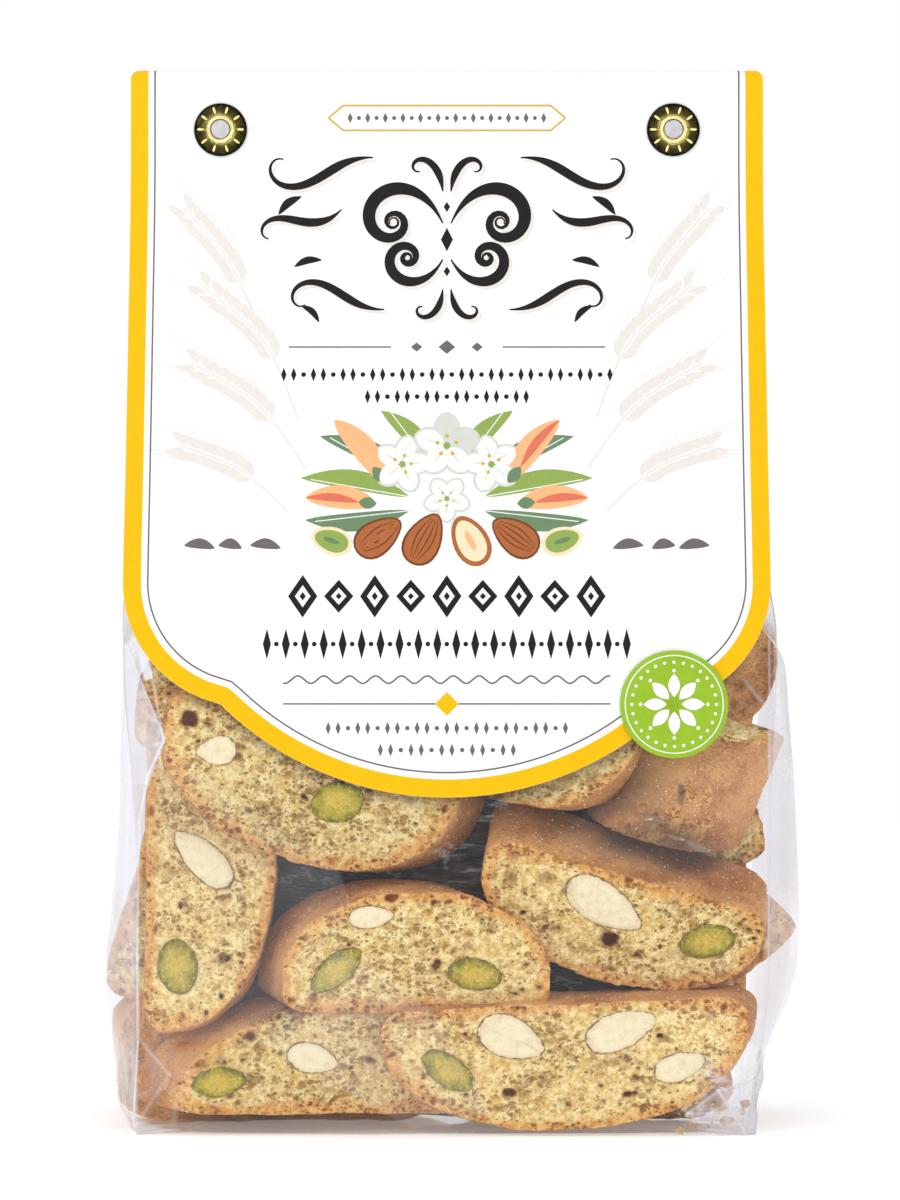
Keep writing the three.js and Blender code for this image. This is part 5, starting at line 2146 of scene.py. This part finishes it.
@dataclass
class Dusting:
    """Sugar on the crusts of the shown slices, and loose crumbs in the bag's front right bottom corner."""

    slices: Sequence[Piece]
    sugar_density: float = 0.13
    sugar_sizes: Point = (0.07, 0.18)
    crumb_density: float = 0.26
    crumb_sizes: Point = (0.2, 1.15)
    bed_half_width: float = 64.0
    bed_low: float = 0.8
    bed_high: float = 22.0
    bed_rows: int = 22
    bed_columns: int = 129
    before_bag: float = -40.0

    def build(self) -> None:
        """Builds the grains as two pieces."""
        self.sugar()
        self.crumbs()

    def sugar(self) -> None:
        """Small bright grains on the crusts."""
        material = SUGAR.material()
        group = scatter_tree("sugar_on_crust", material, "cut", "LESS_THAN")
        grains = Shape()
        for number, slice_ in enumerate(self.slices):
            grains.add(*scattered(slice_.data, group, self.sugar_density, *self.sugar_sizes, 500 + number))
        keep(grains.piece("sugar", (material,), smooth=False), "crumb", "bag")

    def crumbs(self) -> None:
        """Broken crumbs against the film, low down in the front right corner."""
        material = CRUMBS.material()
        group = scatter_tree("loose_crumbs", material, "loose", "GREATER_THAN")
        across, up = np.meshgrid(np.linspace(-self.bed_half_width, self.bed_half_width, self.bed_columns),
                                 np.linspace(self.bed_low, self.bed_high, self.bed_rows))
        x, z = across.ravel(), up.ravel()
        spots = FORM.inside(np.column_stack([x, np.full(len(x), self.before_bag), z]), 1.0)
        bed = make_mesh("bed", spots, grid_faces(self.bed_rows, self.bed_columns))
        right = smoothstep(44, 56, x) * (1 - smoothstep(6, 18, z))
        set_attribute(bed, "loose", right + 0.35 * lattice_noise(spots, 4.0, 95))
        points, faces = scattered(bed, group, self.crumb_density, *self.crumb_sizes, 9)
        points = FORM.inside(points + 0.3 * jitter(points, 0.55, 96), 0.3)
        keep(Shape().add(points, faces).piece("loose_crumbs", (material,)), "crumb", "bag")


# ------------------------------------------------------------------ studio


@dataclass
class Studio:
    """A white sweep, the camera and soft lights, each by name, place, side, watts and target."""

    eye: Triple = (-0.33, -900.0, 113.0)
    lens: float = 124.2
    sensor: float = 36.0
    surround: float = 0.8
    floor_glow: float = 0.28
    floor_half: float = 4000.0
    see_to: float = 20.0
    lights: tuple[tuple, ...] = (("key", (-420, -620, 620), 520, 1.6, (0, 0, 90)),
                                 ("fill", (560, -520, 380), 520, 0.5, (0, 0, 90)),
                                 ("top", (0, -60, 900), 700, 0.4, (0, 0, 60)))

    def build(self) -> None:
        """Builds the floor, lights, world and camera."""
        self.floor()
        self.world()
        for lamp in self.lights:
            self.light(*lamp)
        data = bpy.data.cameras.new("camera")
        data.lens = self.lens
        data.sensor_width = self.sensor
        data.clip_end = self.see_to
        camera = new_object("camera", data)
        camera.location = [c * MM for c in self.eye]
        camera.rotation_euler = (math.pi / 2, 0, 0)
        bpy.context.scene.camera = camera
        bpy.context.scene.view_settings.view_transform = "Standard"

    def floor(self) -> None:
        """A white floor that fades into the world."""
        half = self.floor_half
        mesh = make_mesh("floor", [(-half, -half, 0), (half, -half, 0), (half, half, 0), (-half, half, 0)],
                         [(0, 1, 2, 3)], smooth=False)
        material, _, _ = start_material("white_floor", Base_Color=(0.91, 0.94, 0.99, 1), Roughness=0.9,
                                        Specular_IOR_Level=0.0, Emission_Color=(1, 1, 1, 1),
                                        Emission_Strength=self.floor_glow)
        mesh.materials.append(material)
        new_object("floor", mesh)

    def world(self) -> None:
        """A surround that is white to look at and softer as a light."""
        world = bpy.data.worlds.new("surround")
        world.use_nodes = True
        tree = Tree(world.node_tree)
        seen = world.node_tree.nodes["Background"]
        tree.dress(seen, Color=(1, 1, 1, 1))
        lighting = tree.out("ShaderNodeBackground", {"Color": (1, 1, 1, 1), "Strength": self.surround})
        direct = tree.out("ShaderNodeLightPath", output="Is Camera Ray")
        both = tree.out("ShaderNodeMixShader", {0: direct, 1: lighting, 2: seen.outputs[0]})
        tree.dress(world.node_tree.nodes["World Output"], Surface=both)
        bpy.context.scene.world = world

    def light(self, name: str, place: Triple, size: float, power: float, target: Triple) -> None:
        """Adds a square soft light.

        Args:
            name: the light's name.
            place: where it stands, in millimetres.
            size: its side, in millimetres.
            power: in watts.
            target: where it points.
        """
        data = bpy.data.lights.new(name, "AREA")
        data.size = size * MM
        data.energy = power
        lamp = new_object(name, data)
        lamp.location = [c * MM for c in place]
        lamp.rotation_euler = (Vector(place) - Vector(target)).to_track_quat("Z", "Y").to_euler()


def main() -> None:
    """Builds the object and its setting."""
    logging.basicConfig(level=logging.INFO, format="%(name)s: %(message)s")
    slices = Contents().build()
    Dusting(slices[:len(FRONT_ROW)]).build()
    Film().build()
    card = HeaderCard()
    card.build()
    CardPrint(card).build()
    for side in Side:
        Rivet(side).build()
    Seal().build()
    Studio().build()


if __name__ == "__main__":
    main()
